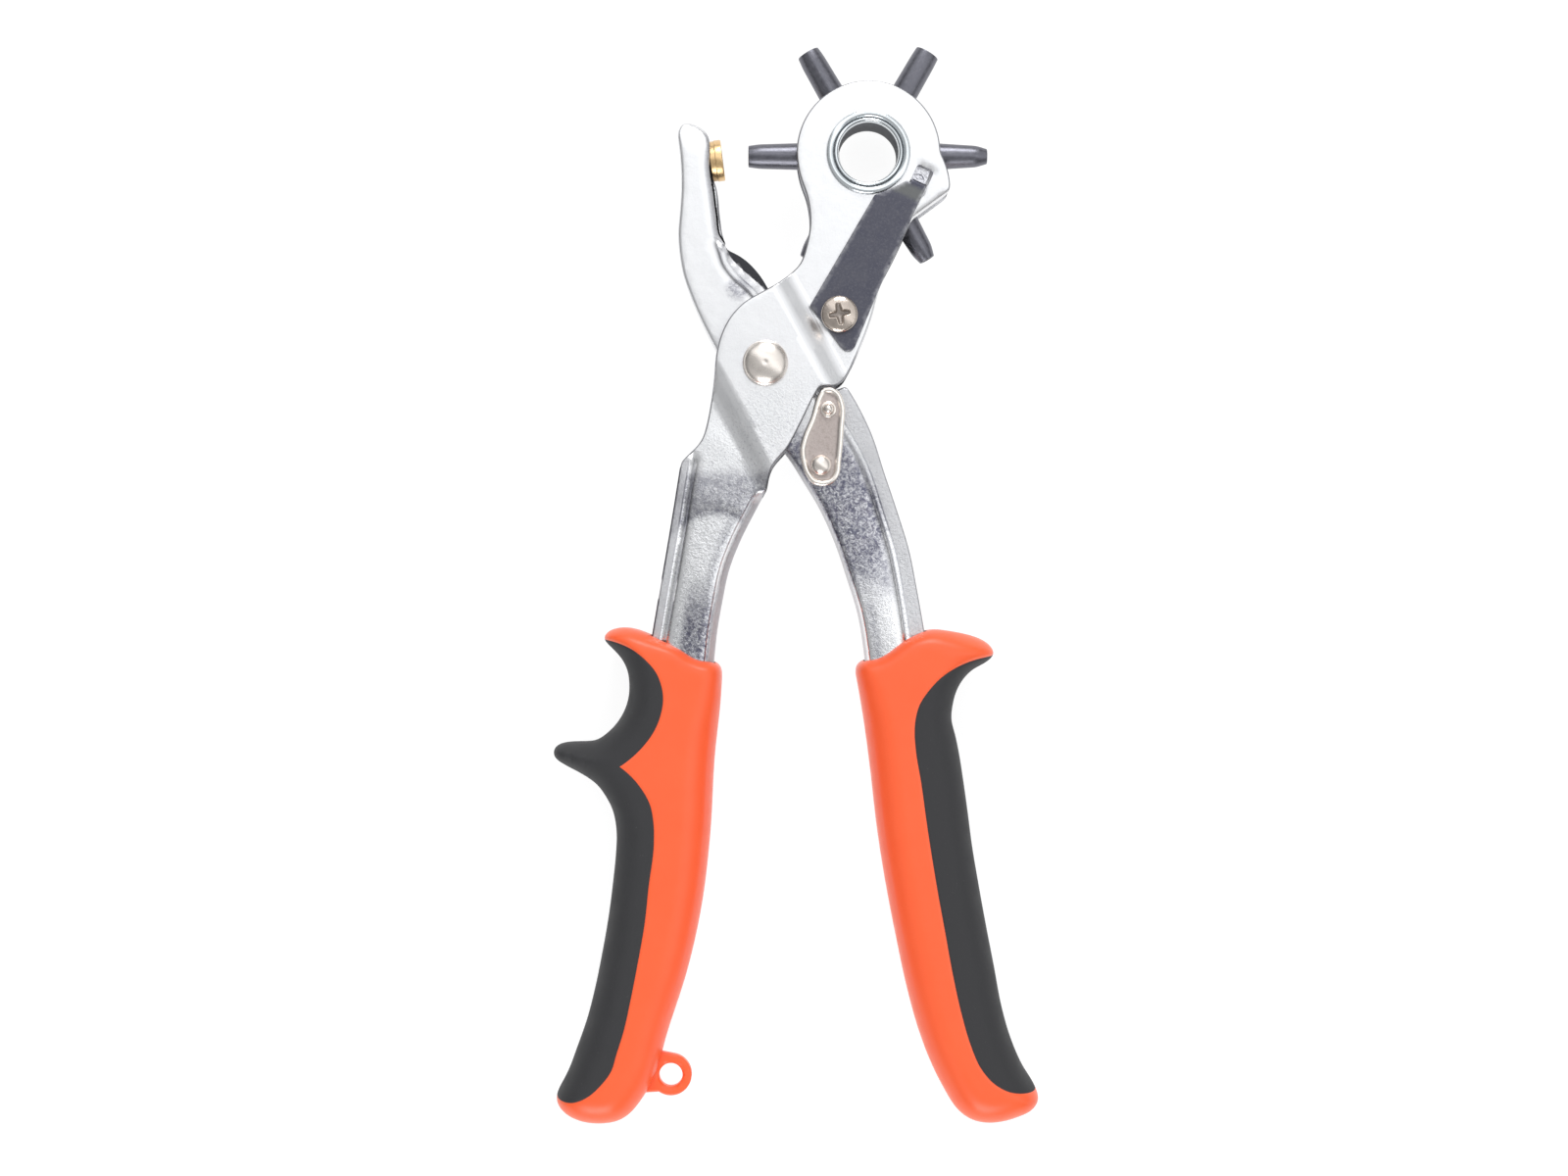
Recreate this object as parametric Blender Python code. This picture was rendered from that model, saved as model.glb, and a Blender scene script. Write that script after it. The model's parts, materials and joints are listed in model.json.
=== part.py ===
"""Rotary hole punch, lying on its back with the head at +Y and the handles at -Y.

Two folded steel levers turn on one rivet. The wheel lever holds a turret with six hollow punch
tubes, and the anvil lever closes a brass anvil on the tube that faces it. Sizes are in millimetres.
Heights are measured from the middle plane of the tool, which lies REST_HEIGHT above the bench.
"""

import math

import bmesh
import bpy
from mathutils import Matrix, Vector

MM = 0.001
REST_HEIGHT = 10.0
GAP = 0.3
CURVE_STEP = 4.0
ROUND_SIDES = 32
CHAMFER = 0.4
# Coordinates that lie well outside the tool, for the open ends of cutters.
BEYOND = 80.0
BELOW = -190.0

# Sheet metal: heights of the outer and inner skin on each side of the middle plane.
SHEET = 2.0
SKIN_OUT = 6.25
SKIN_IN = SKIN_OUT - SHEET
BAND_OUT = 5.0
# How far the channel's inside steps over at the end of a folded web.
WEB_CORNER = 0.6
WEB_END_STEP = 8.0
# The joint zone of the wheel lever is stepped out, so that the anvil lever passes inside it.
STEP_RISE = 2.5
STEP_ANGLE = math.radians(27.7)
STEP_ACROSS = (-14.0, -10.0, 10.4, 14.75)

# Pivot rivet on the origin.
PIVOT = (0.0, 0.0)
PIVOT_R = 3.0
PIVOT_HEAD_R = 5.2
PIVOT_DOME_TOP = 12.0

# Turret.
HUB = (23.6, 48.5)
HUB_BORE_R = 6.7
HUB_R = 7.9
HUB_FLANGE_R = 9.5
HUB_FLANGE = 0.9
HEAD_R = 16.5
TURRET_R = 14.8
TURRET_HALF = 3.9
TUBE_TIP_R = 27.6
TUBE_BASE_R = 3.1
TUBE_STUB_R = 2.6
TUBE_STUB = 4.0
TUBE_TAPER_AT = 0.8
TUBE_BODY_PART = 0.45
# Cut diameter, outer tip diameter and the angle at which each tube stands.
TUBES = (
    (2.0, 3.2, 0),
    (4.5, 5.4, 60),
    (4.0, 5.0, 120),
    (3.5, 4.7, 180),
    (3.0, 4.0, 240),
    (2.5, 3.4, 300),
)

# Detent leaf spring, its screw and the slot that its tip drops through.
LEAF_LOW = SKIN_OUT + GAP
LEAF = 0.8
SCREW = (16.9, 11.2)
SCREW_HEAD_R = 4.2
SCREW_HEAD = 2.3
SCREW_CROWN = 1.2
SCREW_END = 0.5
SCREW_R = 2.0
RECESS = (1.1, 4.6)
RECESS_DEEP = 1.6
RECESS_TURN = 10
LEAF_BEND = (34.6, 40.2)
LEAF_DIRECTION = math.radians(65)
LEAF_TIP_WIDTH = 3.1
LEAF_TIP_REACH = 2.6
LEAF_TIP_LOW = TURRET_HALF + GAP
SLOT = (4.2, 6.7)
SLOT_FROM_BEND = 2.05
DETENT_R = 1.5
DETENT_DEEP = 0.8
DETENT_CIRCLE_R = 12.9

# Anvil.
ANVIL = (-9.9, 47.65)
ANVIL_TILT = math.radians(7.35)
ANVIL_R = 4.75
ANVIL_THICK = 2.2
ANVIL_SHANK_R = 2.0
ANVIL_SHANK = 3.6

# Latch.
LATCH_LOW = SKIN_OUT + GAP
LATCH = 1.5
LATCH_RIVET = (12.7, -23.3)
LATCH_RIVET_R = 2.35
LATCH_RIVET_HEAD = 1.5
LATCH_SHANK_R = 1.3
LATCH_INNER_HEAD_R = 2.2
LATCH_INNER_HEAD = 0.9
LATCH_STUD = (14.4, -10.5)
LATCH_STUD_R = 1.9
LATCH_STUD_HEAD = 1.6
STUD_SHANK_R = 0.8
STUD_CLEAR = 0.1
# Height of the straight rim under a small domed head.
HEAD_RIM = 0.2

# Grips.
GRIP_HALF = 10.0
GRIP_EDGE = 1.0
EYE = (-21.9, -163.8)
EYE_R = 4.8
EYE_HOLE_R = 2.7
EYE_HALF = 1.5

# Return spring.
SPRING_R = 5.0
WIRE_R = 0.8
SPRING_TURNS = 3.5
SPRING_PITCH = 1.8

STEEL = (0.72, 0.73, 0.75, 1.0)
NICKEL = (0.68, 0.64, 0.58, 1.0)
BLACK_OXIDE = (0.07, 0.07, 0.09, 1.0)
LEAF_GREY = (0.1, 0.1, 0.13, 1.0)
BRASS = (0.62, 0.38, 0.12, 1.0)
ORANGE = (1.0, 0.16, 0.065, 1.0)
CHARCOAL = (0.045, 0.045, 0.05, 1.0)


# ---------------------------------------------------------------- outlines


def curve_through(points, step=CURVE_STEP):
    """Points along a smooth curve through the given ones. Two points make a straight line."""
    if len(points) < 3:
        return [tuple(p) for p in points]
    p = [Vector(point) for point in points]
    length = [(b - a).length for a, b in zip(p, p[1:])]
    slope = [(b - a) / h for a, b, h in zip(p, p[1:], length)]
    tangent = [None] * len(p)
    for i in range(1, len(p) - 1):
        before, after = length[i - 1], length[i]
        tangent[i] = (slope[i - 1] * after + slope[i] * before) / (before + after)
    tangent[0] = slope[0] * 2 - tangent[1]
    tangent[-1] = slope[-1] * 2 - tangent[-2]
    found = []
    for i, h in enumerate(length):
        count = max(1, round(h / step))
        for k in range(count):
            t = k / count
            found.append(
                p[i] * (2 * t**3 - 3 * t**2 + 1)
                + tangent[i] * h * (t**3 - 2 * t**2 + t)
                + p[i + 1] * (3 * t**2 - 2 * t**3)
                + tangent[i + 1] * h * (t**3 - t**2)
            )
    found.append(p[-1])
    return [tuple(point) for point in found]


def arc(centre, radius, start, end, step=12):
    """Points on an arc, with angles in degrees."""
    count = max(2, round(abs(end - start) / step))
    angles = [math.radians(start + (end - start) * k / count) for k in range(count + 1)]
    return [(centre[0] + radius * math.cos(a), centre[1] + radius * math.sin(a)) for a in angles]


def circle(centre, radius):
    return arc(centre, radius, 0, 360, 360 / ROUND_SIDES)[:-1]


def joined(*stretches):
    """One closed outline from stretches that meet end to end."""
    found = []
    for stretch in stretches:
        for point in stretch:
            if not found or (Vector(point) - Vector(found[-1])).length > 0.05:
                found.append(tuple(point))
    if (Vector(found[0]) - Vector(found[-1])).length <= 0.05:
        found.pop()
    return found


def moved_aside(points, distance):
    """The line moved to its right-hand side by this distance, seen along its own direction."""
    found = []
    for i, point in enumerate(points):
        along = Vector(points[min(i + 1, len(points) - 1)]) - Vector(points[max(i - 1, 0)])
        along.normalize()
        found.append((point[0] + along.y * distance, point[1] - along.x * distance))
    return found


# Wheel lever: each list is one smooth stretch of the edge, clockwise from the head.
NECK_LEFT = [
    (2.0, 17.8), (5.5, 20.5), (7.8, 22.8), (9.4, 27.3), (10.2, 32.5), (9.6, 38.0), (7.8, 43.4), (7.1, 48.0)
]
HEAD_CORNER = [(40.1, 48.5), (42.3, 41.8), (42.4, 40.4), (41.4, 38.9)]
NECK_RIGHT = [(33.6, 33.2), (30.1, 25.7), (26.4, 18.1), (24.6, 11.3), (21.4, 2.9), (17.8, -4.0)]
LATCH_LEDGE = [(16.1, -5.2), (12.5, -5.1)]
CHEEK_RIGHT = [(12.5, -5.1), (11.4, -6.9), (7.8, -14.1), (5.0, -19.3), (1.3, -24.0), (0.4, -28.3)]
LEFT_HANDLE_INNER = [
    (0.4, -28.3), (-2.4, -33.6), (-6.1, -41.0), (-8.4, -47.0), (-10.0, -54.4), (-11.2, -61.3),
    (-11.9, -67.8), (-12.6, -77.0), (-13.8, -90.5), (-14.8, -108.0), (-16.8, -124.0), (-20.0, -139.0),
    (-22.8, -149.0)
]
LEFT_HANDLE_OUTER = [
    (-29.4, -147.0), (-27.2, -137.0), (-25.6, -128.0), (-23.4, -109.5), (-21.6, -90.0), (-21.4, -76.0)
]
LEFT_HANDLE_NARROWS = [(-23.2, -70.0), (-26.3, -63.5)]
LEFT_BAND_EDGE = [(-26.3, -63.5), (-24.6, -53.6), (-21.9, -37.8), (-19.4, -22.3)]
CHEEK_LEFT = [
    (-16.3, -19.5), (-14.5, -17.1), (-13.5, -13.9), (-12.7, -9.9), (-11.8, -3.7), (-11.2, 2.3),
    (-10.2, 6.3), (-8.2, 10.3), (-5.0, 13.8), (-1.0, 16.2), (2.0, 17.8)
]
NECK_WEB_TOP = 20.4
NECK_WEB_END = 1.2
HANDLE_WEB_TOP = -30.5
LEFT_BAND_WIDE = 2.0

# Anvil lever, clockwise from the jaw tip.
JAW_TIP = [
    (-20.1, 51.5), (-19.8, 54.3), (-18.8, 55.5), (-16.9, 55.4), (-14.7, 54.4), (-13.4, 53.1), (-12.9, 51.8)
]
JAW_RIGHT = [(-12.1, 42.6), (-11.6, 41.6), (-10.8, 35.9), (-9.7, 29.1), (-9.1, 27.4)]
JAW_CROTCH = [(-9.1, 27.4), (-4.0, 23.3), (-1.2, 20.6), (0.6, 18.2)]
UNDER_CHEEK = [(13.7, -1.4), (14.6, -5.8), (16.4, -5.9), (18.5, -4.9)]
RIGHT_HANDLE_OUTER = [
    (18.5, -4.9), (24.1, -15.3), (27.5, -25.4), (30.3, -33.7), (33.1, -42.9), (34.9, -52.1), (36.8, -63.0)
]
RIGHT_HANDLE_NARROWS = [(33.5, -72.0), (32.0, -80.0)]
RIGHT_HANDLE_END = [
    (32.0, -80.0), (32.2, -88.0), (33.4, -96.0), (34.9, -106.0), (37.2, -120.0), (39.0, -130.0),
    (41.4, -142.0), (42.6, -147.0)
]
RIGHT_HANDLE_INNER = [
    (36.0, -149.0), (34.3, -141.5), (32.1, -131.8), (30.0, -121.0), (27.7, -106.5), (26.2, -93.4),
    (24.8, -84.0), (23.6, -75.0), (22.9, -67.7), (21.1, -56.7), (18.8, -49.3), (16.0, -41.0), (12.3, -32.8),
    (8.7, -26.8), (5.0, -21.0), (0.6, -15.9), (-4.8, -9.6), (-9.2, -2.5), (-11.3, 3.1), (-13.6, 7.5),
    (-16.2, 13.1), (-17.5, 16.3), (-19.0, 20.8), (-19.8, 25.5), (-20.1, 29.6), (-19.7, 35.1), (-19.4, 39.5),
    (-19.4, 43.8), (-20.1, 51.5)
]
JAW_CAP_LOW = 41.0
ANVIL_SHOULDER = [
    (-13.4, 60.0), (-13.7, 50.9), (-14.0, 45.1), (-13.3, 39.6), (-12.6, 34.2), (-11.8, 29.3), (-10.2, 26.6),
    (-9.1, 23.3), (-6.9, 20.3), (-3.7, 17.4), (9.5, -4.0), (14.5, -9.5), (18.7, -15.4), (22.9, -23.2),
    (26.5, -33.7), (29.3, -42.9), (31.1, -52.1), (32.7, -63.0)
]

LEAF_EDGE = [
    (10.2, 13.3), (17.4, 3.5), (18.5, 2.8), (19.7, 2.9), (20.5, 3.9), (27.4, 20.4), (32.8, 31.8),
    (36.0, 39.6), (33.2, 40.9), (32.4, 41.9), (29.3, 40.3), (25.0, 38.6)
]
LATCH_EDGE = [
    (12.9, -5.6), (15.6, -5.6), (16.9, -6.6), (18.0, -9.2), (17.9, -15.1), (17.3, -22.4), (16.9, -25.3),
    (15.4, -27.4), (13.2, -28.0), (10.9, -27.5), (9.1, -25.3), (8.1, -22.0), (7.9, -19.8), (8.6, -16.6),
    (10.3, -12.5), (12.0, -7.2), (12.9, -5.6)
]

# Grips: the outer edge of each, and the line where the soft inlay meets the shell.
LEFT_GRIP_TOP = [
    (-37.5, -63.4), (-37.4, -62.4), (-36.5, -61.4), (-35.0, -60.7), (-32.6, -60.4), (-30.1, -60.8),
    (-26.7, -62.1), (-23.6, -63.5), (-19.4, -65.6), (-16.3, -67.6), (-14.2, -68.2), (-12.1, -68.3),
    (-10.6, -69.2), (-10.1, -70.8)
]
LEFT_GRIP_RIGHT = [
    (-10.1, -70.8), (-10.4, -76.7), (-11.8, -90.5), (-12.8, -107.9), (-14.7, -124.1), (-17.9, -138.9),
    (-22.3, -152.7), (-27.1, -167.0), (-29.2, -170.2), (-31.5, -172.8), (-33.8, -174.2), (-36.6, -174.8),
    (-40.3, -174.8), (-44.0, -173.9), (-47.2, -171.7), (-48.4, -169.4), (-48.1, -167.4)
]
LEFT_GRIP_LEFT = [
    (-48.1, -167.4), (-45.5, -162.6), (-43.6, -157.5), (-41.3, -151.0), (-39.5, -144.1), (-37.8, -135.8),
    (-36.2, -126.6), (-35.3, -119.5), (-34.6, -112.6), (-34.4, -108.2), (-34.7, -105.1), (-35.4, -102.3),
    (-36.8, -99.6), (-38.9, -96.7), (-42.0, -94.5), (-46.8, -91.9), (-48.8, -90.5), (-49.1, -88.8),
    (-48.2, -87.6), (-46.1, -87.0), (-42.0, -86.8), (-39.2, -86.6), (-36.8, -85.0), (-34.4, -82.6),
    (-32.5, -79.4), (-31.6, -76.3), (-31.5, -73.2), (-31.9, -70.4), (-33.0, -68.0), (-35.1, -65.6),
    (-37.5, -63.4)
]
LEFT_INLAY_UPPER = [
    (-40.5, -62.9), (-36.9, -63.2), (-33.9, -63.9), (-30.4, -65.4), (-27.0, -68.1), (-25.0, -70.5),
    (-23.8, -73.3), (-23.3, -76.3), (-23.8, -80.1), (-25.3, -83.9), (-27.7, -87.3), (-30.4, -90.0),
    (-33.2, -92.1)
]
LEFT_INLAY_LOWER = [
    (-33.2, -92.1), (-31.1, -93.8), (-28.4, -96.9), (-26.3, -100.7), (-25.5, -104.8), (-25.4, -109.5),
    (-26.6, -119.5), (-27.5, -127.8), (-29.1, -137.0), (-30.7, -145.2), (-32.3, -152.4), (-33.9, -157.5),
    (-35.2, -161.6), (-37.5, -164.7), (-40.7, -167.5), (-44.3, -168.9), (-50.5, -167.0)
]
RIGHT_GRIP_TOP = [
    (21.0, -71.9), (20.9, -69.6), (21.9, -68.3), (23.5, -67.9), (25.5, -67.7), (27.9, -66.4), (32.1, -63.3),
    (36.6, -61.3), (38.8, -60.9), (42.6, -61.3), (47.1, -62.2), (50.1, -63.3), (52.3, -65.1), (52.9, -66.2),
    (52.6, -67.1)
]
RIGHT_GRIP_RIGHT = [
    (52.6, -67.1), (50.5, -68.8), (47.9, -70.1), (45.6, -72.4), (44.1, -75.0), (43.2, -78.4), (42.9, -81.8),
    (43.8, -85.2), (44.7, -89.6), (45.6, -95.3), (46.8, -103.9), (47.6, -110.2), (49.2, -119.8),
    (51.0, -129.7), (52.7, -138.4), (54.6, -148.4), (56.6, -155.3), (59.2, -161.4), (62.6, -167.3),
    (63.1, -169.4), (62.1, -171.2), (57.8, -173.5), (53.5, -174.6), (49.6, -174.6), (46.5, -173.5),
    (44.0, -171.4), (41.4, -167.3), (38.3, -161.2), (35.3, -153.3), (32.7, -143.9), (30.1, -131.8),
    (28.0, -121.0), (25.7, -106.5), (24.2, -93.4), (22.7, -82.1), (21.0, -71.9)
]
RIGHT_INLAY_EDGE = [
    (56.0, -66.2), (52.6, -66.8), (47.6, -67.9), (43.6, -69.5), (40.2, -71.7), (37.3, -74.7), (35.1, -78.1),
    (34.2, -81.4), (34.0, -84.0), (34.3, -88.5), (35.5, -95.8), (36.9, -105.9), (39.2, -120.2),
    (41.0, -130.1), (42.7, -139.4), (44.8, -148.8), (46.7, -155.3), (49.1, -160.8), (52.1, -164.3),
    (55.5, -166.2), (58.9, -166.8), (65.5, -166.0)
]


# ---------------------------------------------------------------- modelling tools


def clear_scene():
    for obj in list(bpy.data.objects):
        bpy.data.objects.remove(obj, do_unlink=True)


def material(name, colour, metallic, roughness):
    made = bpy.data.materials.new(name)
    made.use_nodes = True
    shader = made.node_tree.nodes["Principled BSDF"]
    shader.inputs["Base Color"].default_value = colour
    shader.inputs["Metallic"].default_value = metallic
    shader.inputs["Roughness"].default_value = roughness
    return made


def object_from(bm, name, smooth_under=40.0):
    """A scene object from a bmesh in millimetres about the middle plane, in metres above the bench."""
    bmesh.ops.recalc_face_normals(bm, faces=bm.faces)
    if bm.calc_volume(signed=True) < 0:
        bmesh.ops.reverse_faces(bm, faces=bm.faces)
    bm.transform(Matrix.Scale(MM, 4) @ Matrix.Translation((0, 0, REST_HEIGHT)))
    mesh = bpy.data.meshes.new(name)
    bm.to_mesh(mesh)
    bm.free()
    mesh.shade_smooth()
    mesh.set_sharp_from_angle(angle=math.radians(smooth_under))
    made = bpy.data.objects.new(name, mesh)
    bpy.context.collection.objects.link(made)
    return made


def prism_mesh(outline, low, high):
    bm = bmesh.new()
    face = bm.faces.new([bm.verts.new((x, y, low)) for x, y in outline])
    grown = bmesh.ops.extrude_face_region(bm, geom=[face])["geom"]
    top = [v for v in grown if isinstance(v, bmesh.types.BMVert)]
    bmesh.ops.translate(bm, verts=top, vec=(0, 0, high - low))
    return bm


def prism(name, outline, low, high, edge=0.0):
    """A flat plate of this outline between two heights, with its rims bevelled by edge."""
    bm = prism_mesh(outline, low, high)
    if edge:
        bm.normal_update()
        level = [e for e in bm.edges if abs(e.verts[0].co.z - e.verts[1].co.z) < MM]
        rims = [e for e in level if e.calc_face_angle() > 1]
        bmesh.ops.bevel(bm, geom=rims, offset=edge, segments=1, profile=0.5, affect="EDGES")
    return object_from(bm, name)


def turned(name, profile, centre, along=(0, 0, 1), height=0.0):
    """A round piece: (radius, distance along the axis) points, turned about a line through centre."""
    bm = bmesh.new()
    verts = [bm.verts.new((radius, 0, distance)) for radius, distance in profile]
    closed = profile[0][0] > 0
    pairs = list(zip(verts, verts[1:] + verts[:1])) if closed else list(zip(verts, verts[1:]))
    edges = [bm.edges.new(pair) for pair in pairs]
    bmesh.ops.spin(
        bm, geom=verts + edges, axis=(0, 0, 1), angle=math.tau, steps=ROUND_SIDES, use_merge=True
    )
    bmesh.ops.remove_doubles(bm, verts=bm.verts, dist=0.0001)
    turn = Vector((0, 0, 1)).rotation_difference(Vector(along)).to_matrix().to_4x4()
    bm.transform(Matrix.Translation((*centre, height)) @ turn)
    return object_from(bm, name)


def block(name, centre, size, turn, low, high):
    """A box with its length along the direction turn, between two heights."""
    wide, long = size[0] / 2, size[1] / 2
    along = Vector((math.cos(turn), math.sin(turn)))
    across = Vector((along.y, -along.x))
    corners = [(-wide, -long), (-wide, long), (wide, long), (wide, -long)]
    outline = [tuple(Vector(centre) + across * a + along * b) for a, b in corners]
    return prism(name, outline, low, high)


def with_boolean(target, other, operation):
    made = target.modifiers.new(other.name, "BOOLEAN")
    made.operation = operation
    made.object = other
    made.solver = "EXACT"
    other.hide_render = True
    other.display_type = "WIRE"


def cut(target, *cutters):
    for cutter in cutters:
        with_boolean(target, cutter, "DIFFERENCE")


def hole(target, name, centre, radius, low, high):
    cut(target, prism(name, circle(centre, radius), low, high))


# ---------------------------------------------------------------- levers


def step_height(x, y):
    """How far the sheet of the joint zone stands outside the flat of the lever."""
    across = x * math.cos(STEP_ANGLE) + y * math.sin(STEP_ANGLE)
    low_start, low_end, high_start, high_end = STEP_ACROSS
    rise = (across - low_start) / (low_end - low_start)
    fall = (high_end - across) / (high_end - high_start)
    return STEP_RISE * max(0.0, min(1.0, rise, fall))


def stepped_prism(name, outline, half):
    """A prism to both sides of the middle plane, stepped out in the joint zone."""
    bm = prism_mesh(outline, -half, half)
    normal = Vector((math.cos(STEP_ANGLE), math.sin(STEP_ANGLE), 0))
    for across in STEP_ACROSS:
        everything = bm.verts[:] + bm.edges[:] + bm.faces[:]
        bmesh.ops.bisect_plane(bm, geom=everything, dist=0.0001, plane_co=normal * across, plane_no=normal)
    for v in bm.verts:
        v.co.z += math.copysign(step_height(v.co.x, v.co.y), v.co.z)
    return object_from(bm, name)


def both_sides(name, outline, low, high):
    """Two equal cutters, one on each side of the middle plane."""
    front = prism(name + "_front", outline, low, high)
    back = prism(name + "_back", outline, -high, -low)
    return front, back


def wheel_lever():
    neck_right = curve_through(NECK_RIGHT)
    handle_inner = curve_through(LEFT_HANDLE_INNER)
    band_edge = curve_through(LEFT_BAND_EDGE)
    outline = joined(
        curve_through(NECK_LEFT),
        arc(HUB, HEAD_R, 180, 0),
        curve_through(HEAD_CORNER),
        neck_right,
        LATCH_LEDGE,
        curve_through(CHEEK_RIGHT),
        handle_inner,
        curve_through(LEFT_HANDLE_OUTER),
        LEFT_HANDLE_NARROWS,
        band_edge,
        curve_through(CHEEK_LEFT),
    )
    lever = stepped_prism("wheel_lever_channel", outline, SKIN_OUT)
    neck_web = [p for p in moved_aside(neck_right, SHEET) if NECK_WEB_END < p[1] < NECK_WEB_TOP]
    handle_web = [p for p in moved_aside(handle_inner, SHEET) if p[1] < HANDLE_WEB_TOP]
    inside = joined(
        [(-BEYOND, BEYOND), (BEYOND, BEYOND), (BEYOND, NECK_WEB_TOP)],
        [(neck_web[0][0] + WEB_CORNER, NECK_WEB_TOP)],
        neck_web,
        [(neck_web[-1][0] - WEB_CORNER, NECK_WEB_END), (BEYOND, NECK_WEB_END), (BEYOND, HANDLE_WEB_TOP)],
        [(handle_web[0][0] + WEB_CORNER, HANDLE_WEB_TOP)],
        handle_web,
        [(handle_web[-1][0] - WEB_END_STEP, BELOW), (-BEYOND, BELOW)],
    )
    cut(lever, stepped_prism("wheel_lever_inside", inside, SKIN_IN))
    outside = [(-BEYOND, LEFT_BAND_EDGE[0][1]), (-BEYOND, LEFT_BAND_EDGE[-1][1])]
    band = joined(outside, moved_aside(band_edge, LEFT_BAND_WIDE)[::-1])
    cut(lever, *both_sides("wheel_lever_band", band, BAND_OUT, SKIN_OUT + 1))
    everywhere = (-SKIN_OUT - STEP_RISE - 1, SKIN_OUT + STEP_RISE + 1)
    hole(lever, "wheel_lever_pivot_hole", PIVOT, PIVOT_R + GAP, *everywhere)
    hole(lever, "wheel_lever_hub_hole", HUB, HUB_R + GAP, *everywhere)
    hole(lever, "wheel_lever_screw_hole", SCREW, SCREW_R + GAP, 0, SKIN_OUT + 1)
    slot_centre = Vector(LEAF_BEND) + leaf_along() * SLOT_FROM_BEND
    cut(lever, block("wheel_lever_slot", slot_centre, SLOT, LEAF_DIRECTION, 0, SKIN_OUT + 1))
    return lever


def anvil_lever():
    inner = curve_through(RIGHT_HANDLE_INNER)
    outline = joined(
        curve_through(JAW_TIP),
        curve_through(JAW_RIGHT),
        curve_through(JAW_CROTCH),
        UNDER_CHEEK,
        curve_through(RIGHT_HANDLE_OUTER),
        RIGHT_HANDLE_NARROWS,
        curve_through(RIGHT_HANDLE_END),
        inner,
    )
    lever = prism("anvil_lever_channel", outline, -SKIN_OUT, SKIN_OUT)
    web = [p for p in moved_aside(inner, SHEET) if p[1] < JAW_CAP_LOW]
    open_side = [(web[-1][0], JAW_CAP_LOW), (BEYOND, JAW_CAP_LOW), (BEYOND, BELOW), (web[0][0], BELOW)]
    inside = joined(web, open_side)
    cut(lever, prism("anvil_lever_inside", inside, -SKIN_IN, SKIN_IN))
    outside = [(BEYOND, ANVIL_SHOULDER[-1][1]), (BEYOND, ANVIL_SHOULDER[0][1])]
    band = joined(curve_through(ANVIL_SHOULDER), outside)
    cut(lever, *both_sides("anvil_lever_band", band, BAND_OUT, SKIN_OUT + 1))
    hole(lever, "anvil_lever_pivot_hole", PIVOT, PIVOT_R + GAP, -SKIN_OUT - 1, SKIN_OUT + 1)
    hole(lever, "anvil_lever_latch_hole", LATCH_RIVET, LATCH_SHANK_R + GAP, 0, SKIN_OUT + 1)
    end, wide = ANVIL_SHANK + GAP, ANVIL_SHANK_R + GAP
    socket = [(0, ANVIL_THICK), (wide, ANVIL_THICK), (wide, -end), (0, -end)]
    cut(lever, turned("anvil_lever_socket", socket, anvil_back(), anvil_normal()))
    return lever


def anvil_normal():
    return (math.cos(ANVIL_TILT), math.sin(ANVIL_TILT), 0)


def anvil_back():
    """The centre of the disc's back face."""
    return (ANVIL[0] - ANVIL_THICK * math.cos(ANVIL_TILT), ANVIL[1] - ANVIL_THICK * math.sin(ANVIL_TILT))


def anvil_pad():
    profile = [
        (0, ANVIL_THICK), (ANVIL_R - CHAMFER, ANVIL_THICK), (ANVIL_R, ANVIL_THICK - CHAMFER), (ANVIL_R, 0),
        (ANVIL_SHANK_R, 0), (ANVIL_SHANK_R, -ANVIL_SHANK), (0, -ANVIL_SHANK)
    ]
    return turned("anvil_pad", profile, anvil_back(), anvil_normal())


# ---------------------------------------------------------------- rivets, hub and turret


def dome(radius, low, top, steps=4):
    """A round head from its rim at height low to its crown at top, as profile points from the crown out."""
    angles = [math.pi / 2 * (1 - k / steps) for k in range(steps + 1)]
    found = [(radius * math.cos(a), low + (top - low) * math.sin(a)) for a in angles]
    return [(0, top)] + found[1:]


def pivot_rivet():
    head_low = SKIN_OUT + STEP_RISE + GAP
    profile = dome(PIVOT_HEAD_R, head_low + CHAMFER, PIVOT_DOME_TOP) + [
        (PIVOT_HEAD_R, head_low), (PIVOT_R, head_low), (PIVOT_R, -head_low), (PIVOT_HEAD_R, -head_low),
        (PIVOT_HEAD_R, -REST_HEIGHT), (0, -REST_HEIGHT)
    ]
    return turned("pivot_rivet", profile, PIVOT)


def hub_sleeve():
    low = SKIN_OUT + GAP
    high = low + HUB_FLANGE
    rim = high - CHAMFER
    inner = [(HUB_BORE_R, -rim), (HUB_BORE_R, rim)]
    front = [
        (HUB_BORE_R + CHAMFER, high), (HUB_FLANGE_R - CHAMFER, high), (HUB_FLANGE_R, rim), (HUB_FLANGE_R, low)
    ]
    back = [(radius, -height) for radius, height in reversed(front)]
    profile = inner + front + [(HUB_R, low), (HUB_R, -low)] + back
    return turned("hub_sleeve", profile, HUB)


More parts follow.
